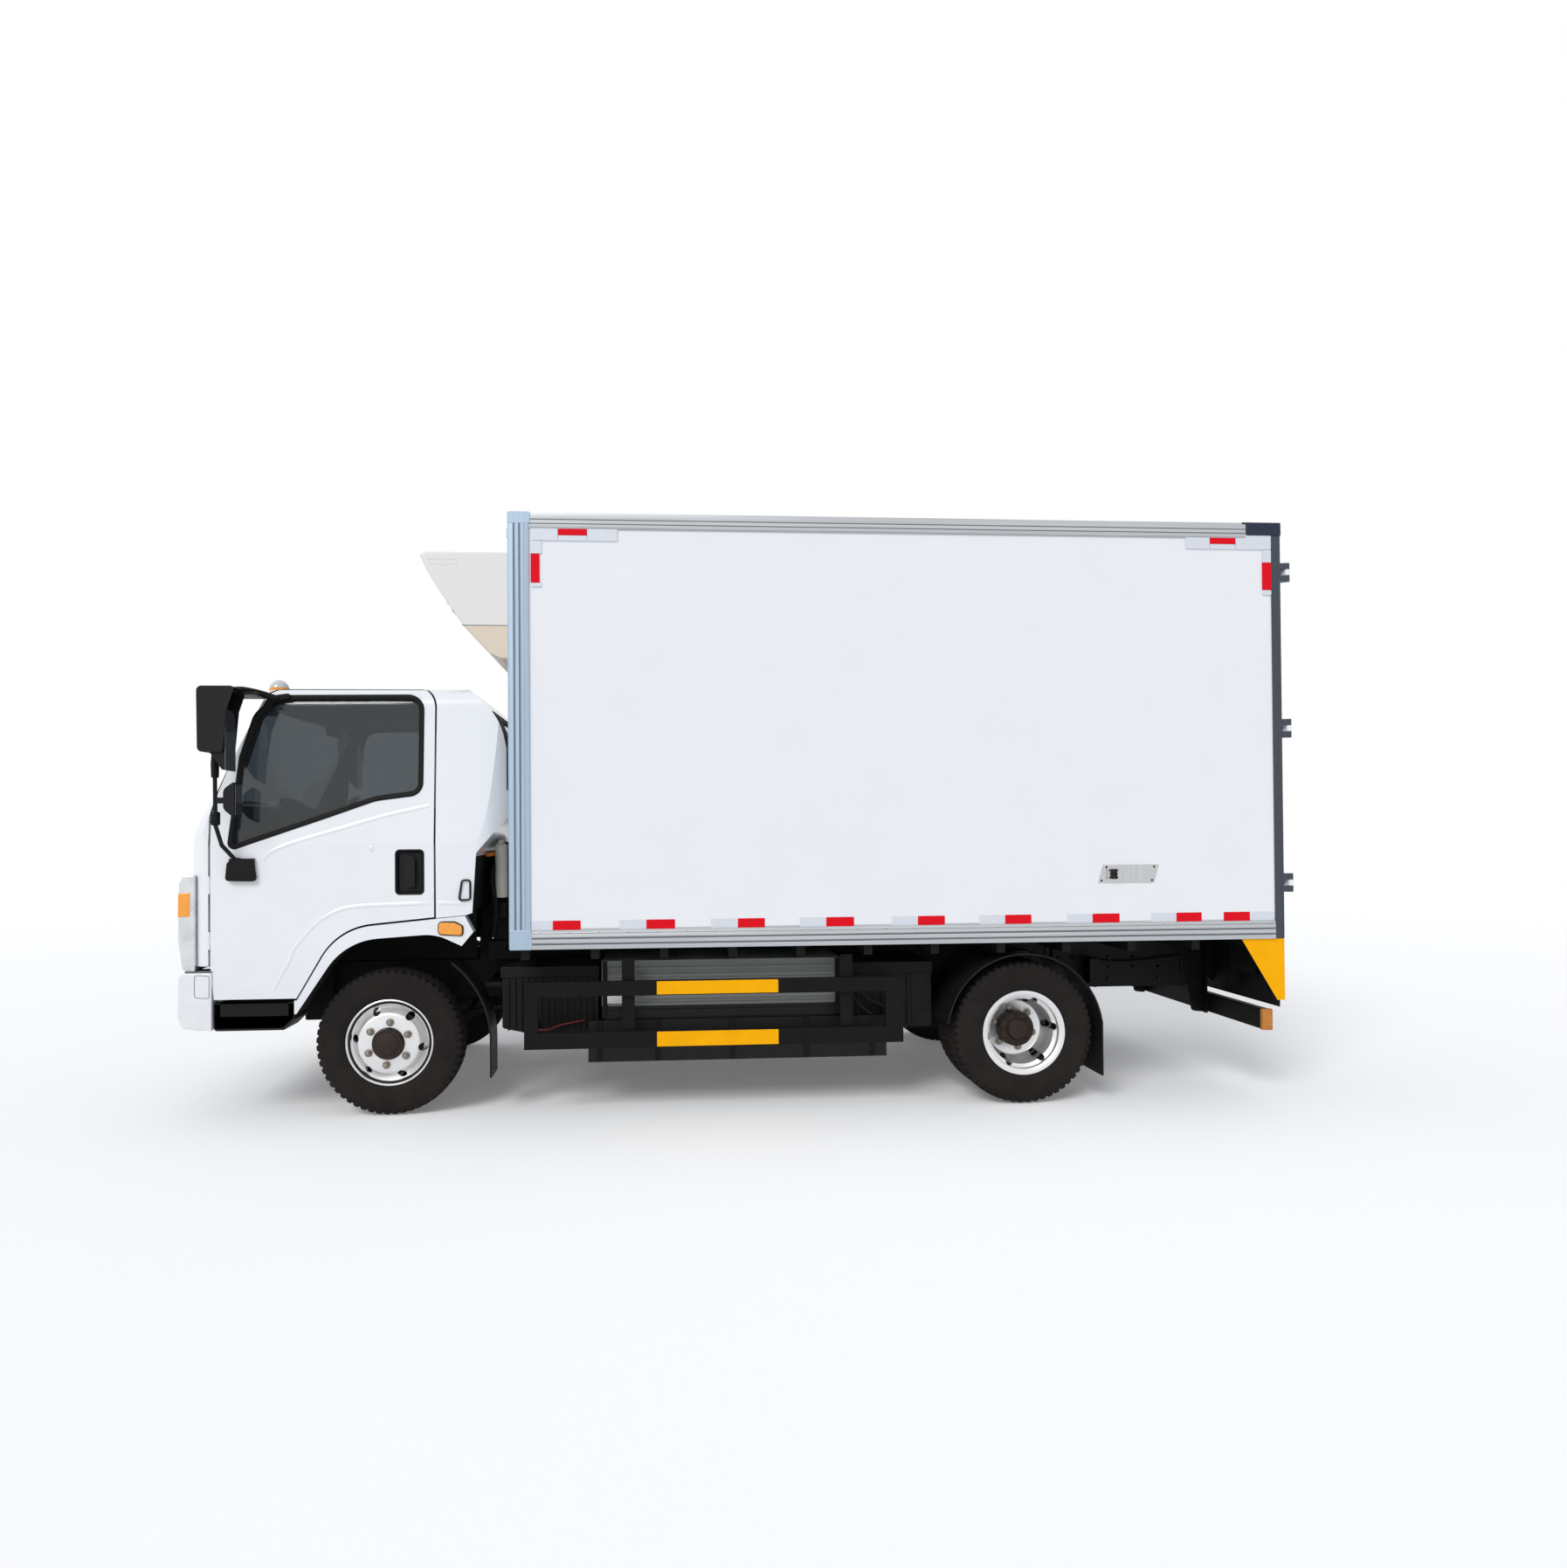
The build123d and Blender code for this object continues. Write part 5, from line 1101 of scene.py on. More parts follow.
SLOPE = Vector((353, 695)).normalized()
SCREEN_OUT = (-SLOPE.y, 0, SLOPE.x)
WIPER_STARTS = (-640, 70)
GRILLE_BARS = 6
GRILLE_HIGH = 320


def on_screen(y, along, proud):
    return at(-968 + SLOPE.x * along - SLOPE.y * proud, y, 1540 + SLOPE.y * along + SLOPE.x * proud)


def nose_x(z):
    return -972 - 29 * (z - 400) / 900 if z < 1300 else -1001 + 33 * (z - 1300) / 240


def on_nose(y, z, proud):
    return at(nose_x(z) - proud, y, z)


def screen_rubber(mesh):
    screen = rounded([(-840, 95, 60), (840, 95, 60), (795, 684, 80), (-795, 684, 80)], 8)
    profile = [(16, -3), (16, 2), (12, 5), (0, 6), (-8, 4), (-14, -2), (-14, -5), (-6, -9)]
    swept_loop(mesh, screen, profile, on_screen)


def wipers(mesh):
    for y in WIPER_STARTS:
        turned(mesh, on_screen(y, 42, 0), SCREEN_OUT,
               [(-8, 0.01), (-8, 20), (14, 18), (20, 12), (20, 0.01)], 20)
        arm = smoothed([(y, 42, 16), (y + 90, 66, 26), (y + 290, 122, 24)])
        rail = [(y + 10, 118, 13), (y + 290, 124, 19), (y + 560, 120, 13)]
        blade = [(y + 5, 115, 5), (y + 290, 121, 5), (y + 565, 117, 5)]
        for points, radius, sides in ((arm, 0.007, 8), (rail, 0.006, 8), (blade, 0.0045, 6)):
            tube(mesh, [on_screen(*p) for p in points], radius, sides)
        turned(mesh, on_screen(y + 150, 20, 0), SCREEN_OUT, [(-4, 0.01), (-4, 11), (8, 9), (10, 0.01)], 12)


def front_seams(mesh):
    # Seam of the nose flap, frame of the lower grille and two handles
    swept_loop(mesh, rounded([(-690, 1268, 60), (690, 1268, 60), (720, 1455, 60), (-720, 1455, 60)]),
               [(3, -1), (3, 0.6), (-3, 0.6), (-3, -1)], on_nose)
    swept_loop(mesh, rounded(oblong(-648, 648, 842, 1238, 30)),
               [(10, -2), (10, 3), (3, 6), (-8, 4), (-10, -6)], on_nose)
    for y in (-300, 300):
        front_slab(mesh, oblong(y - 60, y + 60, 1290, 1320, 10), -1010, -995)


def grille_bars(mesh):
    for i in range(GRILLE_BARS):
        z = 874 + i * (GRILLE_HIGH / GRILLE_BARS)
        front_slab(mesh, [(-596, z + 30, 4), (596, z + 30, 4), (596, z + 37, 3), (-596, z + 37, 3)],
                   nose_x(z) - 3, nose_x(z) + 4)


whole("screen_rubber", screen_rubber, RUBBER, "cab", "black_trim")
whole("wipers", wipers, BLACK_PLASTIC, "cab", "black_trim")
whole("front_seams", front_seams, BLACK_PLASTIC, "cab", "black_trim")
whole("grille_bars", grille_bars, CHROME, "cab", "steel_gear", bevel=1)


# Wrap-round headlamps: clear below, amber above, with two round bowls on the face

BOWL_X = -1034
BOWL_Y = -866
BOWLS = ((1225, 24), (965, 62))


def headlamp_lens(mesh):
    rows = [(-956, 776, 6), (-1018, 776, 22), (-1040, 930, 90), (-1036, 1225, 40), (-1012, 1264, 12),
            (-957, 1268, 6)]
    side_slab(mesh, rows, -986, -742)


def headlamp_turn_lens(mesh):
    side_slab(mesh, [(-978, 1054, 6), (-1041, 1052, 6), (-1039, 1176, 6), (-978, 1180, 6)], -988, -744)


def lamp_bezels(mesh):
    for z, radius in BOWLS:
        rows = [(-10, radius + 10), (2, radius + 10), (4, radius + 6), (2, radius), (-10, radius)]
        turned(mesh, at(BOWL_X, BOWL_Y, z), (-1, 0, 0), rows, 40)


def lamp_bowls(mesh):
    for z, radius in BOWLS:
        rows = [(-9, 0.01), (-9, radius + 1), (1, radius + 1), (5, radius * 0.7), (8, radius * 0.35),
                (9, 0.01)]
        turned(mesh, at(BOWL_X, BOWL_Y, z), (-1, 0, 0), rows, 40)


lenses = pair("headlamp_lenses", headlamp_lens, HEADLAMP, "cab", "clear_lamp", bevel=16, segments=4)
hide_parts("headlamps")
pair("headlamp_turn_lenses", headlamp_turn_lens, AMBER, "cab", "red_lamp", bevel=16, segments=4)
pair("lamp_bezels", lamp_bezels, BLACK_PLASTIC, "cab", "black_trim")
pair("lamp_bowls", lamp_bowls, CHROME, "cab", "clear_lamp")


# Bumper ends with painted shade in their seams, roof lamps, front plate and fog lamps

DOME_X = -596
DOME_Y = -800
DOME_GAP = Vector((0, 0, 0.002))
ROOF_SPOT = nodes["cab_shell"].ray_cast(at(DOME_X, DOME_Y, 2600), Vector((0, 0, -1)))[1] + DOME_GAP
FOG_Y = (-680, 680)
FOG_Z = 602


def on_bumper_end(x, z, proud):
    return at(x, -990 - proud, z)


def bumper_end(mesh):
    rows = [(-873, 470, 6), (-873, 766, 4), (-1020, 766, 14), (-1038, 742, 20), (-1040, 540, 20),
            (-1020, 486, 24)]
    side_slab(mesh, rows, -990, -890)


# Painted shade: a dark strip in the gap under the headlamp and a thin dark loop round the recess edge stand
# for the shade there
def bumper_end_seam_shade(mesh):
    side_slab(mesh, [(-873, 766, 2), (-873, 776, 2), (-1006, 776, 2), (-1006, 766, 2)], -984, -880)
    swept_loop(mesh, rounded([(-956, 642, 12), (-884, 636, 12), (-884, 752, 12), (-956, 756, 12)]),
               [(1.5, -1), (1.5, 0.7), (-1.5, 0.7), (-1.5, -1)], on_bumper_end)


def roof_lamp_dome(mesh):
    rows = [(-8, 0.01), (-8, 50), (2, 50), (10, 49), (26, 43), (40, 30), (49, 14), (51, 0.01)]
    turned(mesh, ROOF_SPOT, (0, 0, 1), rows, 32)


def roof_lamp_band(mesh):
    turned(mesh, ROOF_SPOT, (0, 0, 1), [(-9, 40), (-9, 53), (5, 53), (7, 50), (7, 40)], 32)


def plate_holder(mesh):
    front_slab(mesh, oblong(-235, 235, 548, 655, 6), -1022, -1010)


def plate_front(mesh):
    front_slab(mesh, oblong(-215, 215, 555, 648, 8), -1025, -1021)


def fog_lamp_bezels(mesh):
    for y in FOG_Y:
        turned(mesh, at(-1032, y, FOG_Z), (-1, 0, 0),
               [(-6, 0.01), (-6, 70), (2, 70), (3, 64), (-1, 52), (-3, 0.01)], 36)


def fog_lamps(mesh):
    for y in FOG_Y:
        turned(mesh, at(-1033, y, FOG_Z), (-1, 0, 0), [(-2, 0.01), (-2, 51), (1, 51), (5, 30), (6, 0.01)], 36)


pair("bumper_ends", bumper_end, WHITE_PAINT, "chassis", "white_cab", bevel=10, segments=3)
pair("bumper_end_seam_shade", bumper_end_seam_shade, SHADE_LINES_SEAMS_AND_SCREWS, "chassis", "black_trim")
domes = pair("roof_lamp_domes", roof_lamp_dome, CAB_LENS, "cab", "clear_lamp")
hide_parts("cab_lamps")
pair("roof_lamp_bands", roof_lamp_band, AMBER, "cab", "red_lamp")
whole("plate_holder_front", plate_holder, BLACK_PLASTIC, "chassis", "black_trim", bevel=2)
whole("plate_front", plate_front, PLATE, "chassis", "steel_gear", bevel=1)
whole("fog_lamp_bezels", fog_lamp_bezels, BLACK_PLASTIC, "chassis", "black_trim")
whole("fog_lamps", fog_lamps, CLEAR, "chassis", "clear_lamp")


# Mirror glasses, clamps and boots

def mirror_glass(mesh):
    block(mesh, -717.5, -713, -1214, -1086, 1790, 2105)
    block(mesh, -705.5, -701, -1120, -1040, 1570, 1725)


def mirror_boots(mesh):
    low = [(0, 11), (0, 19), (8, 22), (60, 22), (68, 19), (68, 11)]
    high = [(0, 11), (0, 18), (70, 20), (120, 16), (120, 11)]
    turned(mesh, at(-808, -1096, 1520), (0, 0, 1), low, 16)
    turned(mesh, at(-810, -1096, 1760), (0, 0, 1), high, 16)
    foot = [(-800, 1236, 18), (-648, 1232, 18), (-660, 1330, 24), (-742, 1356, 20), (-790, 1330, 18)]
    side_slab(mesh, foot, -1008, -979)


def mirror_mounts(mesh):
    lead(mesh, [(-728, -1120, 2196), (-680, -1080, 2204), (-620, -1000, 2196), (-560, -948, 2176)], 0.016)
    foot = [(-640, 2128, 14), (-606, 2192, 20), (-500, 2206, 10), (-498, 2178, 8), (-580, 2160, 40),
            (-616, 2112, 14)]
    side_slab(mesh, foot, -938, -916)


for side in SIDES:
    door = "door_" + side
    sided("mirror_glass", side, mirror_glass, MIRROR, door, "steel_gear", bevel=1)
    sided("mirror_boots", side, mirror_boots, RUBBER, door, "black_trim", bevel=4)
    sided("mirror_mounts", side, mirror_mounts, RUBBER, door, "black_trim", bevel=3)


# Cab room

DRIVER_Y = -560
WHEEL_R = 0.2
WHEEL_STEPS = 72
SPOKES = (0.35, math.pi - 0.35, 1.5 * math.pi)
WEB_HALF = Vector((0.024, 0, 0))
WEB_THICK = Vector((0, 0.0018, 0))


def steering_wheel(mesh):
    axis = Vector((0.5, 0, 0.87)).normalized()
    flat = axis.orthogonal().normalized()
    other = axis.cross(flat)
    sideways = Vector((0, 1, 0))
    middle = at(-480, DRIVER_Y, 1560)
    ring = []
    for i in range(WHEEL_STEPS + 1):
        angle = 2 * math.pi * i / WHEEL_STEPS
        ring.append(middle + (flat * math.cos(angle) + other * math.sin(angle)) * WHEEL_R)
    tube(mesh, ring, 0.0145, 12, caps=False)
    for angle in SPOKES:
        across = sideways * math.cos(angle) + axis.cross(sideways) * -math.sin(angle)
        tube(mesh, [middle - axis * 0.004 + across * 0.03, middle - axis * 0.002 + across * 0.12,
                    middle + across * 0.196], 0.011, 8)
    turned(mesh, middle, axis, [(-22, 0.01), (-22, 52), (4, 60), (14, 52), (20, 34), (21, 0.01)], 40)
    turned(mesh, middle, axis, [(-140, 0.01), (-140, 27), (-70, 33), (-22, 40), (-22, 0.01)], 24)


def dash_fittings(mesh):
    # Instrument hood, middle panel, gear housing with its lever, and two pedals
    side_slab(mesh, [(-800, 1556, 10), (-800, 1600, 30), (-640, 1620, 40), (-612, 1560, 10), (-640, 1540, 6)],
              -770, -350)
    side_slab(mesh, [(-652, 1410, 10), (-622, 1530, 10), (-611, 1530, 4), (-611, 1410, 4)], -250, 250)
    gear = [(-770, 1250, 20), (-700, 1390, 20), (-590, 1390, 30), (-560, 1330, 30), (-560, 1300, 20)]
    side_slab(mesh, gear, -90, 90)
    tube(mesh, [at(-560, 0, 1310), at(-520, 0, 1420)], 0.009, 10)
    turned(mesh, at(-518, 0, 1426), (0.34, 0, 0.94),
           [(-14, 0.01), (-14, 14), (0, 24), (22, 24), (34, 14), (36, 0.01)], 20)
    block(mesh, -800, -792, -700, -640, 900, 985)
    block(mesh, -800, -792, -520, -470, 900, 985)


def dash_screens(mesh):
    block(mesh, -612, -608.5, -140, 140, 1425, 1515)
    side_slab(mesh, [(-626, 1552, 6), (-640, 1604, 6), (-637, 1604, 3), (-623, 1552, 3)], -740, -380)
    for y in (-830, -330, 330, 830):
        turned(mesh, at(-630, y, 1480), (1, 0, 0.3),
               [(-4, 0.01), (-4, 44), (6, 44), (8, 40), (2, 36), (2, 0.01)], 24)


def visors(mesh):
    for y in (-740, 180):
        side_slab(mesh, [(-560, 2170, 8), (-545, 2182, 8), (-420, 2196, 8), (-424, 2180, 8)], y, y + 560)
    tube(mesh, [at(-560, 0, 2200), at(-555, 0, 2120)], 0.006, 8)
    side_slab(mesh, [(-562, 2060, 12), (-548, 2060, 12), (-540, 2130, 12), (-556, 2130, 12)], -130, 130)


def belts(mesh):
    for seat_y in (DRIVER_Y, -DRIVER_Y):
        out = -1 if seat_y < 0 else 1
        path = [(430, seat_y + out * 300, 1980), (395, seat_y + out * 290, 1900),
                (300, seat_y + out * 262, 1560), (262, seat_y + out * 262, 1240)]
        for i in range(len(path) - 1):
            a, b = at(*path[i]), at(*path[i + 1])
            hull(mesh, [a - WEB_HALF, a + WEB_HALF, b + WEB_HALF, b - WEB_HALF], WEB_THICK)
        loop_y = seat_y + out * 296
        block(mesh, 395, 455, loop_y - 12, loop_y + 12, 1960, 2040)


wheel = whole("road_steering_wheel", steering_wheel, BLACK_PLASTIC, "cab", "black_trim")
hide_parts("steering_wheel")
whole("dash_fittings", dash_fittings, DASH, "cab", "cabin_plastic", bevel=4)
whole("dash_screens", dash_screens, RUBBER, "cab", "black_trim", bevel=1)
whole("visors", visors, LINING, "cab", "cabin_plastic", bevel=3)
whole("belts", belts, BELT, "cab", "black_trim")


# Seats

SEAT_VOXEL = 0.011
SEAT_ROUND = 28
PRESSURE = 4.0
CLOTH_FRAMES = 14
SEAT_HALF = 250
SEAT_PLACES = (("driver", DRIVER_Y, SEAT_HALF), ("middle", 0, 190), ("passenger", -DRIVER_Y, SEAT_HALF))
CUSHION = [(-318, 1166, 20), (-318, 1254, 42), (-120, 1262, 200), (120, 1240, 40), (200, 1170, 20)]
BACK = [(150, 1250, 30), (296, 1690, 60), (318, 1700, 30), (382, 1692, 24), (262, 1180, 20), (208, 1180, 20)]
REST = [(306, 1716, 24), (330, 1838, 34), (392, 1834, 26), (378, 1712, 20)]


def swell(thing):
    # Cloth pressure from inside, run over the frames it needs
    cloth = thing.modifiers.new("swell", "CLOTH")
    cloth.settings.uniform_pressure_force = PRESSURE
    cloth.settings.use_pressure = True
    cloth.settings.effector_weights.gravity = 0
    cloth.settings.quality = 4
    cloth.point_cache.frame_start = 1
    cloth.point_cache.frame_end = CLOTH_FRAMES
    for frame_number in range(1, CLOTH_FRAMES + 1):
        bpy.context.scene.frame_set(frame_number)


def pad(name, centre_y, half, rows):
    # Stuffed form: a slab with rounded edges that cloth pressure then swells
    mesh = bmesh.new()
    side_slab(mesh, rows, centre_y - half, centre_y + half, 8)
    data = bpy.data.meshes.new(name)
    bmesh.ops.recalc_face_normals(mesh, faces=mesh.faces)
    mesh.to_mesh(data)
    mesh.free()
    thing = linked(name, data)
    round_edges(thing, SEAT_ROUND, 4)
    remesh = thing.modifiers.new("even", "REMESH")
    remesh.mode = "VOXEL"
    remesh.voxel_size = SEAT_VOXEL
    swell(thing)
    done = settle(thing)
    bpy.context.scene.frame_set(1)
    for polygon in done.polygons:
        polygon.use_smooth = True
    done.materials.clear()
    done.materials.append(SEAT)
    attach(thing, "cab")
    return thing


def seat_fittings(mesh):
    # Posts of the head rests and side plates at the recliners
    for _, y, _ in SEAT_PLACES:
        for shift in (-45, 45):
            tube(mesh, [at(325, y + shift, 1660), at(352, y + shift, 1760)], 0.006, 10)
    plate = [(180, 1150, 20), (180, 1230, 30), (300, 1230, 30), (300, 1150, 20)]
    for y in (DRIVER_Y, -DRIVER_Y):
        side_slab(mesh, plate, y - SEAT_HALF - 8, y - SEAT_HALF + 12)
        side_slab(mesh, plate, y + SEAT_HALF - 12, y + SEAT_HALF + 8)


seat_pads = []
for label, y, half in SEAT_PLACES:
    seat_pads.append(pad("seat_cushion_" + label, y, half, CUSHION))
    seat_pads.append(pad("seat_back_" + label, y, half - 6, BACK))
    seat_pads.append(pad("head_rest_" + label, y, 130 if half > 200 else 110, REST))
for thing in seat_pads:
    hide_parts("seats")
whole("seat_fittings", seat_fittings, BLACK_PLASTIC, "cab", "cabin_plastic", bevel=2)


# Load box trim

BOX_FRONT_X = 757
RAIL_END_X = 4722
TOP_RAIL_END_X = 4580
POST_FOOT_Z = 878
POST_RISE = Vector((0, 0, 2.24))
RIVET_STEP = 150
RAIL_RIVETS = 27
POST_RIVETS = 15


def along_x(mesh, rows, x0, x1):
    # Rolled section of (z, proud) drawn along the box side
    ring = [at(x0, -EDGE_SIDE - proud, z) for z, proud in rows]
    hull(mesh, ring, Vector(((x1 - x0) / 1000, 0, 0)))


def side_rails(mesh):
    low = [(874, -2), (874, 5), (880, 7), (896, 7), (899, 3), (903, 3), (906, 6), (925, 6), (928, 3),
           (932, 3), (935, 6), (952, 6), (956, 4), (969, 3), (972, 0), (972, -2)]
    high = [(3036, -2), (3036, 2), (3042, 4), (3058, 4), (3061, 1.5), (3064, 4), (3080, 4), (3083, 1.5),
            (3086, 4), (3104, 4), (3118, 2), (3119, -2)]
    along_x(mesh, low, BOX_FRONT_X, RAIL_END_X)
    for i in range(RAIL_RIVETS):
        head(mesh, at(800 + i * RIVET_STEP, -EDGE_SIDE - 4, 962), (0, -1, 0), 5, 2.5)
    along_x(mesh, high, BOX_FRONT_X, TOP_RAIL_END_X)


# Painted shade: thin dark strips standing for the shade in the grooves of the rails and front posts
def rail_groove_shade(mesh):
    for z, high in ((901, 3), (930, 3), (955, 2), (889, 1.5)):
        block(mesh, 758, 4721, -EDGE_SIDE - 6.4, -EDGE_SIDE - 2, z - high / 2, z + high / 2)
    for z, high in ((3061, 2.5), (3083, 2.5), (3040, 1.5)):
        block(mesh, 758, 4580, -EDGE_SIDE - 4.2, -EDGE_SIDE - 1, z - high / 2, z + high / 2)
    for x, wide in ((677, 3), (705, 3), (728, 1.5)):
        block(mesh, x - wide / 2, x + wide / 2, -1107.4, -1102, 880, 3116)


def front_posts(mesh):
    rows = [(650, -1098), (650, -1104), (656, -1107), (672, -1107), (675, -1104), (680, -1104), (683, -1107),
            (700, -1107), (703, -1104), (708, -1104), (711, -1107), (742, -1107), (752, -1104), (752, -1098)]
    hull(mesh, [at(x, y, POST_FOOT_Z) for x, y in rows], POST_RISE)
    rows = [(651, -1102), (645, -1102), (642, -1090), (642, -1062), (645, -1058), (645, -1052), (642, -1048),
            (642, -1012), (648, -1004), (653, -1004)]
    hull(mesh, [at(x, y, POST_FOOT_Z) for x, y in rows], POST_RISE)
    for i in range(POST_RIVETS):
        head(mesh, at(692, -1104, 950 + i * RIVET_STEP), (0, -1, 0), 5, 2.5)


def rear_corner_caps(mesh):
    side_slab(mesh, [(4583, 3052, 12), (4776, 3052, 4), (4776, 3120, 10), (4583, 3120, 12)], -1107, -1094)
    side_slab(mesh, oblong(4560, 4776, 3110, 3121, 4), -1106, -1010)


def front_corner_caps(mesh):
    side_slab(mesh, [(646, 3060, 6), (760, 3060, 10), (760, 3121, 10), (646, 3121, 10)], -1108, -1092)
    side_slab(mesh, [(646, 872, 6), (760, 872, 10), (760, 975, 10), (646, 975, 10)], -1108, -1092)


def hold_back_fittings(mesh):
    for x, z in ((3762, 1196), (3790, 1268), (4040, 1196), (4052, 1268)):
        head(mesh, at(x, -1098, z), (0, -1, 0), 6, 3)
    for x, z in ((3803, 1212), (3846, 1212), (3803, 1250), (3846, 1250)):
        head(mesh, at(x, -1107, z), (0, -1, 0), 5, 3)
    side_slab(mesh, oblong(3808, 3842, 1222, 1240, 6), -1119, -1106)
    side_slab(mesh, oblong(3812, 3820, 1204, 1258, 4), -1122, -1106)
    side_slab(mesh, oblong(3830, 3838, 1204, 1258, 4), -1122, -1106)


pair("side_rails", side_rails, RAIL, "chassis", "edge_metal")
pair("rail_groove_shade", rail_groove_shade, SHADE_LINES_SEAMS_AND_SCREWS, "chassis", "edge_metal")
pair("front_posts", front_posts, POST, "chassis", "edge_metal")
pair("rear_corner_caps", rear_corner_caps, DARK_CAP, "chassis", "black_trim", bevel=3)
pair("front_corner_caps", front_corner_caps, POST, "chassis", "edge_metal", bevel=3)
pair("hold_back_fittings", hold_back_fittings, IRON, "chassis", "steel_gear", bevel=1)


# Refrigeration unit

FRIDGE_HALF = 750
LOUVRES = 5
LOUVRE_STEP = 0.18
LOUVRE_BAYS = ((-590, -10), (10, 590))
NOSE_ROWS = [(645, 3003, 0), (150, 3003, 14), (122, 2988, 10), (160, 2905, 60), (218, 2808, 120),
             (357, 2600, 160), (500, 2446, 60), (560, 2420, 20), (645, 2414, 0)]
SLOPE_TOP = Vector((146, 2935))
SLOPE_FOOT = Vector((300, 2685))


def on_slope(share, y, proud):
    # Point on the sloping front, share of the way down
    fall = SLOPE_FOOT - SLOPE_TOP
    run = fall.normalized()
    return at(SLOPE_TOP.x + fall.x * share + run.y * proud, y, SLOPE_TOP.y + fall.y * share - run.x * proud)


def fridge_case(mesh):
    side_slab(mesh, NOSE_ROWS, -FRIDGE_HALF, FRIDGE_HALF, 8)


def fridge_slots(mesh):
    for i in range(LOUVRES):
        low, high = 0.10 + i * LOUVRE_STEP, 0.20 + i * LOUVRE_STEP
        for y0, y1 in LOUVRE_BAYS:
            corners = ((low, 2), (high, 2), (high, -6), (low, -6))
            ring = [on_slope(share, y0, proud) for share, proud in corners]
            hull(mesh, ring, Vector((0, (y1 - y0) / 1000, 0)))


def fridge_slats(mesh):
    # Louvres on the sloping front and a pressed frame on each side
    for i in range(LOUVRES):
        low = 0.10 + i * LOUVRE_STEP
        for y0, y1 in LOUVRE_BAYS:
            y = y0 - 8
            hull(mesh, [on_slope(low - 0.04, y, 1), on_slope(low - 0.04, y, 5), on_slope(low + 0.05, y, 13),
                        on_slope(low + 0.05, y, 9)], Vector((0, (y1 - y0 + 16) / 1000, 0)))
    rows = rounded([(165, 2962, 5), (320, 2962, 5), (320, 2934, 5), (180, 2934, 5)])
    for out in (-1, 1):
        swept_loop(mesh, rows, [(2, -2), (2, 1), (0, 2), (-2, 1), (-2, -2)],
                   lambda u, v, p, s=out: at(u, s * (FRIDGE_HALF + p), v))


def fridge_screws(mesh):
    for out in (-1, 1):
        y = out * FRIDGE_HALF
        side_slab(mesh, [(352, 2600, 1), (645, 2600, 1), (645, 2604, 1), (350, 2604, 1)], y - 1.2, y + 1.2)
        for z in (2650, 2800, 2940):
            head(mesh, at(622, y, z), (0, out, 0), 9, 4)


case = whole("fridge_case", fridge_case, FRIDGE, "chassis", "white_panel", bevel=16, segments=4)
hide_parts("fridge_unit")
whole("fridge_slots", fridge_slots, BLACK_PLASTIC, "chassis", "black_trim")
whole("fridge_slats", fridge_slats, FRIDGE, "chassis", "white_panel")
whole("fridge_screws", fridge_screws, SHADE_LINES_SEAMS_AND_SCREWS, "chassis", "steel_gear")


# Rear doors

REAR_FACE_X = 4778
HINGE_Z = (1175, 2012.5, 2853)
KEEPERS = 4
KEEPER_Z = (1105, 2920)
REAR_RED = ((-1000, -860, 1010, 1058), (-560, -420, 1010, 1058), (-1002, -956, 2840, 2980))
REAR_SILVER = ((-858, -720, 1010, 1058), (-418, -280, 1010, 1058), (-954, -816, 2934, 2980))


def on_rear(y, z, proud):
    return at(REAR_FACE_X + proud, y, z)


def rear_seal(mesh):
    swept_loop(mesh, rounded(oblong(-1034, -4, 991, 3034, 12)),
               [(-1, -3), (-1, 3), (-5, 5), (-16, 4), (-20, 1), (-20, -3)], on_rear)


def rear_hinge_straps(mesh):
    for z in HINGE_Z:
        block(mesh, 4778.5, 4785.5, -1032, -768, z - 17, z + 17)
        for y in (-1000, -900, -800):
            head(mesh, at(4785, y, z), (1, 0, 0), 8, 4)
    for i in range(KEEPERS):
        z = KEEPER_Z[0] + (KEEPER_Z[1] - KEEPER_Z[0]) * i / (KEEPERS - 1)
        for shift in (-20, 20):
            head(mesh, at(4815, -130 + shift, z), (1, 0, 0), 5, 3)
    turned(mesh, at(4817, -540, 1415), (1, 0, 0), [(-2, 0.01), (-2, 16), (3, 16), (5, 12), (5, 0.01)], 16)


def rear_tapes(mesh, boxes):
    for box in boxes:
        front_slab(mesh, oblong(*box, 3), 4777.7, 4779.4, 3)


def rear_tapes_red(mesh):
    rear_tapes(mesh, REAR_RED)


def rear_tapes_silver(mesh):
    rear_tapes(mesh, REAR_SILVER)


for side in SIDES:
    door = "rear_door_" + side
    sided("rear_seal", side, rear_seal, RUBBER, door, "black_trim")
    sided("rear_hinge_straps", side, rear_hinge_straps, STEEL, door, "steel_gear", bevel=1)
    sided("rear_tape_red", side, rear_tapes_red, TAPE_RED, door, "red_lamp")
    sided("rear_tape_silver", side, rear_tapes_silver, TAPE_SILVER, door, "edge_metal")


# Rear lamps and under-run bar

def rear_lamp(y0, y1):
    return lambda mesh: front_slab(mesh, oblong(y0, y1, 652, 728, 8), 4788, 4796)


def rear_lamp_side(mesh):
    side_slab(mesh, [(4744, 662, 6), (4752, 662, 2), (4752, 718, 2), (4744, 718, 6)], -962.5, -959)


def underrun_end(mesh):
    side_slab(mesh, oblong(4703, 4761, 363, 478, 4), -1004, -978)


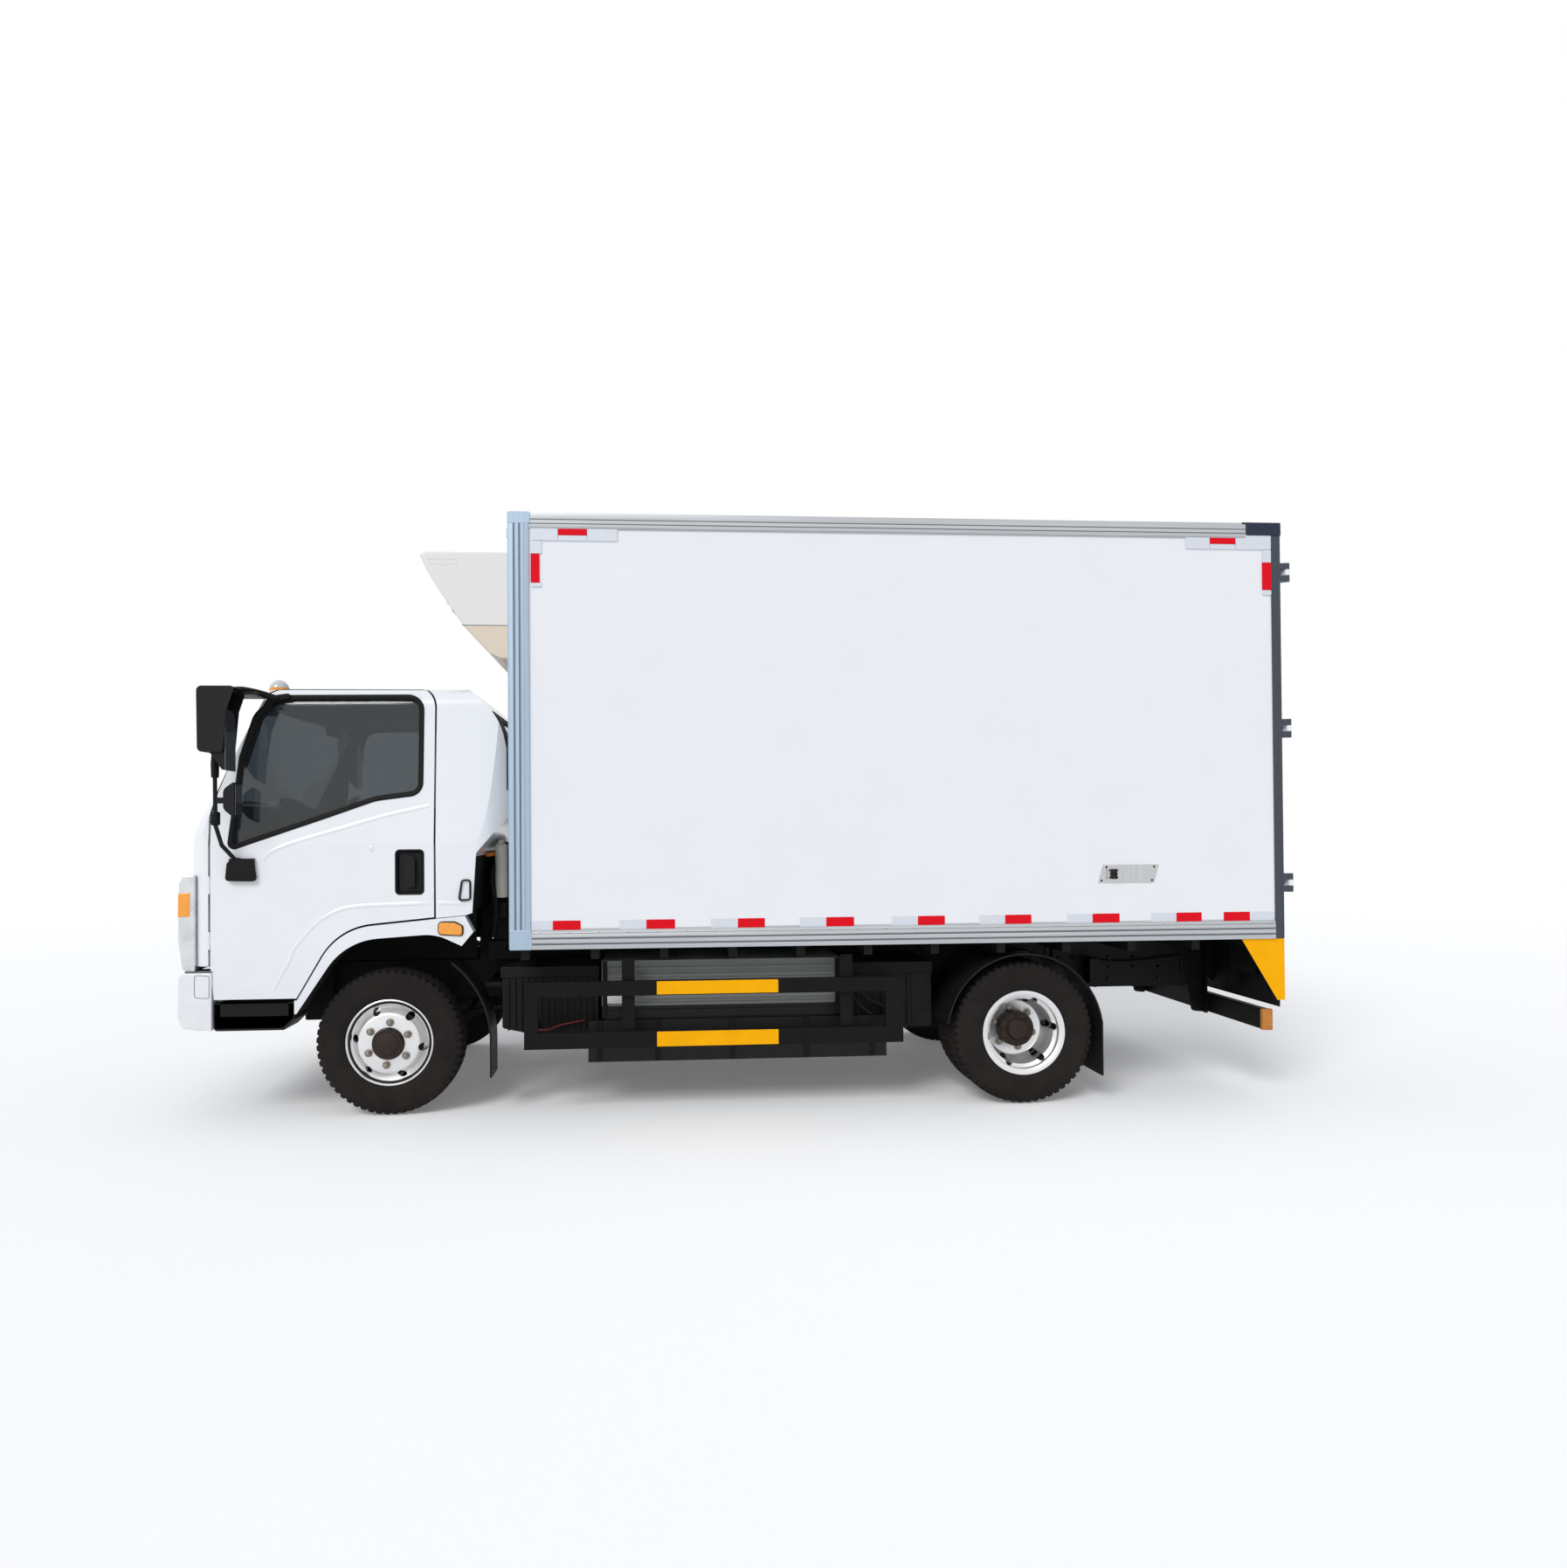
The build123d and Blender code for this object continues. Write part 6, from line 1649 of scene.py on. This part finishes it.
def underrun_bar(mesh):
    # Brackets, corner plates and their posts in pairs, then the bar across
    bracket = [(4584, 800, 4), (4702, 800, 4), (4702, 358, 20), (4627, 366, 20), (4590, 560, 60)]
    side_slab(mesh, bracket, -387, -377)
    side_slab(mesh, [(4690, 800, 2), (4702, 800, 2), (4702, 358, 2), (4690, 358, 2)], -430, -387)
    side_slab(mesh, oblong(4760, 4772, 548, 880, 2), -1094, -1060)
    for z in (402, 440):
        hexagon(mesh, at(4664, -388, z), (0, -1, 0), 9, 8)
    side_slab(mesh, [(4536, 874, 4), (4776, 874, 4), (4776, 543, 4), (4733, 543, 4)], -1094, -1086)
    mirrored(mesh)
    side_slab(mesh, oblong(4704, 4760, 365, 476, 8), -1002, 1002)


def lamp_panel(mesh):
    side_slab(mesh, [(4758, 502, 4), (4770, 498, 4), (4770, 874, 2), (4758, 874, 2)], -1060, 1060)
    for y in (-1030, -700, -380, 380, 700, 1030):
        side_slab(mesh, [(4700, 600, 20), (4758, 540, 4), (4758, 868, 2), (4700, 868, 2)], y - 3, y + 3)


pair("rear_lamp_stop", rear_lamp(-952, -876), RED_LENS, "chassis", "red_lamp", bevel=2)
pair("rear_lamp_turn", rear_lamp(-872, -796), AMBER, "chassis", "red_lamp", bevel=2)
pair("rear_lamp_reverse", rear_lamp(-792, -708), CLEAR, "chassis", "red_lamp", bevel=2)
pair("rear_lamp_side", rear_lamp_side, RED_LENS, "chassis", "red_lamp")
pair("underrun_ends", underrun_end, END_CAP, "chassis", "red_lamp", bevel=3)
bar = whole("underrun_bar", underrun_bar, GUARD, "chassis", "dark_frame", bevel=2)
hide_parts("rear_underrun")
whole("lamp_panel", lamp_panel, BLACK_FRAME, "chassis", "dark_frame", bevel=2)


# Chassis

BOLTS = 34
BOLT_STEP = 155
RIBS = 14
RIB_STEP = 34
TREAD_BARS = 9
BAR_STEP = 38
BIG_BOLTS = ((4112, 689), (4111, 564), (4420, 688), (4418, 561), (690, 670), (690, 690), (3900, 690),
             (3000, 690))
SPRING_SEATS = ((0, 328, 406, 395, 34), (WHEELBASE, 416, 494, 442, 50))


def subframe_sills(mesh):
    side_slab(mesh, oblong(660, 4690, 741, 814, 3), -374, -312)
    for x in (690, 1500, 2300, 3000, 3900, 4600):
        side_slab(mesh, oblong(x - 30, x + 30, 650, 850, 6), -385, -376)
    for x in (700, 2200, 3760, 4560):
        tube(mesh, [at(x, -392, 600), at(x, -392, 868)], 0.008, 8)
    side_slab(mesh, [(3720, 520, 30), (4600, 520, 6), (4600, 800, 6), (3720, 800, 6)], -384, -376)


def frame_bolts(mesh):
    for i in range(BOLTS):
        x = -700 + i * BOLT_STEP
        for z in (640 if x > 3900 else 575, 700):
            hexagon(mesh, at(x, -375, z), (0, -1, 0), 9, 9)
    for x, z in BIG_BOLTS:
        hexagon(mesh, at(x, -384, z), (0, -1, 0), 12, 12)


def spring_clamps(mesh):
    for x, y0, y1, z, half in SPRING_SEATS:
        for shift in (-half - 16, half + 16):
            for y in (-y0, -y1):
                tube(mesh, [at(x + shift, y, z - 60), at(x + shift, y, z + 56)], 0.008, 8)
            tube(mesh, [at(x + shift, -y1, z + 56), at(x + shift, -y0, z + 56)], 0.009, 8)
        side_slab(mesh, oblong(x - 90, x + 90, z + 44, z + 58, 4), -y1, -y0)


def equipment_rack(mesh):
    # Boxes and uprights between cab and load box, then the panel across
    side_slab(mesh, oblong(490, 575, 1000, 1090, 10), -660, -531)
    side_slab(mesh, oblong(455, 640, 760, 868, 10), -560, -390)
    for y in (-470, -300, -130):
        side_slab(mesh, oblong(596, 616, 840, 1150, 8), y - 12, y + 12)
    mirrored(mesh)
    panel = [(480, 800, 12), (600, 800, 12), (600, 1180, 20), (560, 1330, 30), (480, 1330, 12)]
    side_slab(mesh, panel, -530, 530)


def equipment_cases(mesh):
    # Closed cases before and behind the batteries, behind the guard frames
    front_case = [(574, 432, 16), (700, 404, 16), (1084, 404, 16), (1084, 745, 16), (574, 745, 16)]
    side_slab(mesh, front_case, -864, -392)
    side_slab(mesh, oblong(566, 1090, 700, 758, 8), -872, -386)
    for i in range(RIBS):
        x = 604 + i * RIB_STEP
        side_slab(mesh, oblong(x, x + 10, 420, 700, 3), -874, -863)
    side_slab(mesh, oblong(700, 760, 436, 486, 8), -905, -873)
    side_slab(mesh, oblong(2404, 2900, 396, 745, 16), -850, -392)
    side_slab(mesh, oblong(2398, 2906, 690, 752, 8), -858, -386)
    for x in (2480, 2620, 2760):
        side_slab(mesh, oblong(x, x + 26, 404, 690, 4), -858, -849)


def red_leads(mesh):
    lead(mesh, [(560, -566, 596), (548, -590, 560), (560, -600, 500), (584, -600, 440)], 0.0045, 8)
    lead(mesh, [(720, -882, 438), (800, -890, 424), (880, -892, 448), (960, -884, 462), (1010, -876, 470)],
         0.0045, 8)


def case_fittings(mesh):
    lead(mesh, [(2480, -866, 640), (2540, -880, 560), (2620, -880, 520), (2660, -866, 470)], 0.008, 8)
    lead(mesh, [(2440, -866, 600), (2500, -884, 520), (2580, -878, 460), (2640, -866, 452)], 0.008, 8)
    for place in ((2500, -862, 650), (2560, -862, 470), (2650, -862, 460)):
        hexagon(mesh, at(*place), (0, -1, 0), 12, 12)


def hoses(mesh):
    # Two behind the cab and two looms along the left rail
    lead(mesh, [(505, -690, 900), (520, -705, 1050), (500, -700, 1240), (540, -660, 1330), (560, -560, 1290)],
         0.016)
    lead(mesh, [(560, -560, 820), (600, -640, 870), (610, -690, 960), (580, -660, 1040), (560, -600, 1060)],
         0.013)
    lead(mesh, [(700, -396, 620), (1300, -398, 640), (2400, -396, 620), (2900, -396, 650)], 0.012, 10)
    lead(mesh, [(3880, -396, 700), (4200, -400, 670), (4560, -396, 700)], 0.010, 10)


def power_cables(mesh):
    lead(mesh, [(446, -640, 1352), (480, -680, 1352), (520, -660, 1356), (560, -640, 1330)], 0.011)
    lead(mesh, [(1000, -560, 700), (1040, -600, 640), (1104, -620, 620)], 0.016)


def bare_label(mesh):
    side_slab(mesh, oblong(1130, 1209, 560, 606, 3), -909.6, -907)


def case_straps(mesh):
    for x in (1120, 2368):
        side_slab(mesh, oblong(x - 12, x + 12, 486, 784, 4), -912, -899)
    for x in (1090, 1400, 1800, 2200, 2560):
        side_slab(mesh, oblong(x - 14, x + 14, 252, 468, 4), -908, -899)


def fluid_reservoir(mesh):
    rows = [(0, 0.01), (0, 30), (6, 34), (150, 34), (156, 32), (164, 34), (286, 34), (294, 27), (298, 18),
            (314, 18), (316, 0.01)]
    turned(mesh, at(549, -690, 1118), (0, 0, 1), rows, 28)


def step_treads(mesh):
    panel = [(-862, 478, 10), (-525, 478, 6), (-470, 528, 6), (-470, 604, 6), (-862, 604, 6)]
    side_slab(mesh, panel, -975, -968)
    for i in range(TREAD_BARS):
        x = -820 + i * BAR_STEP
        block(mesh, x, x + 14, -955, -775, 537, 544)


pair("subframe_sills", subframe_sills, BLACK_FRAME, "chassis", "dark_frame", bevel=1)
pair("frame_bolts", frame_bolts, IRON, "chassis", "steel_gear")
pair("spring_clamps", spring_clamps, IRON, "chassis", "axle_metal")
whole("equipment_rack", equipment_rack, BLACK_FRAME, "chassis", "dark_frame", bevel=4)
pair("equipment_cases", equipment_cases, BLACK_FRAME, "chassis", "dark_frame", bevel=4)
whole("red_leads", red_leads, RED_LEAD, "chassis", "red_lamp")
whole("case_fittings", case_fittings, IRON, "chassis", "steel_gear")
whole("hoses", hoses, RUBBER, "chassis", "black_trim")
whole("power_cables", power_cables, ORANGE, "chassis", "red_lamp")
pair("bare_labels", bare_label, PLATE, "chassis", "white_panel")
pair("case_straps", case_straps, BLACK_FRAME, "chassis", "dark_frame", bevel=2)
whole("fluid_reservoir", fluid_reservoir, BOTTLE, "chassis", "white_panel")
pair("step_treads", step_treads, RUBBER, "cab", "black_trim")
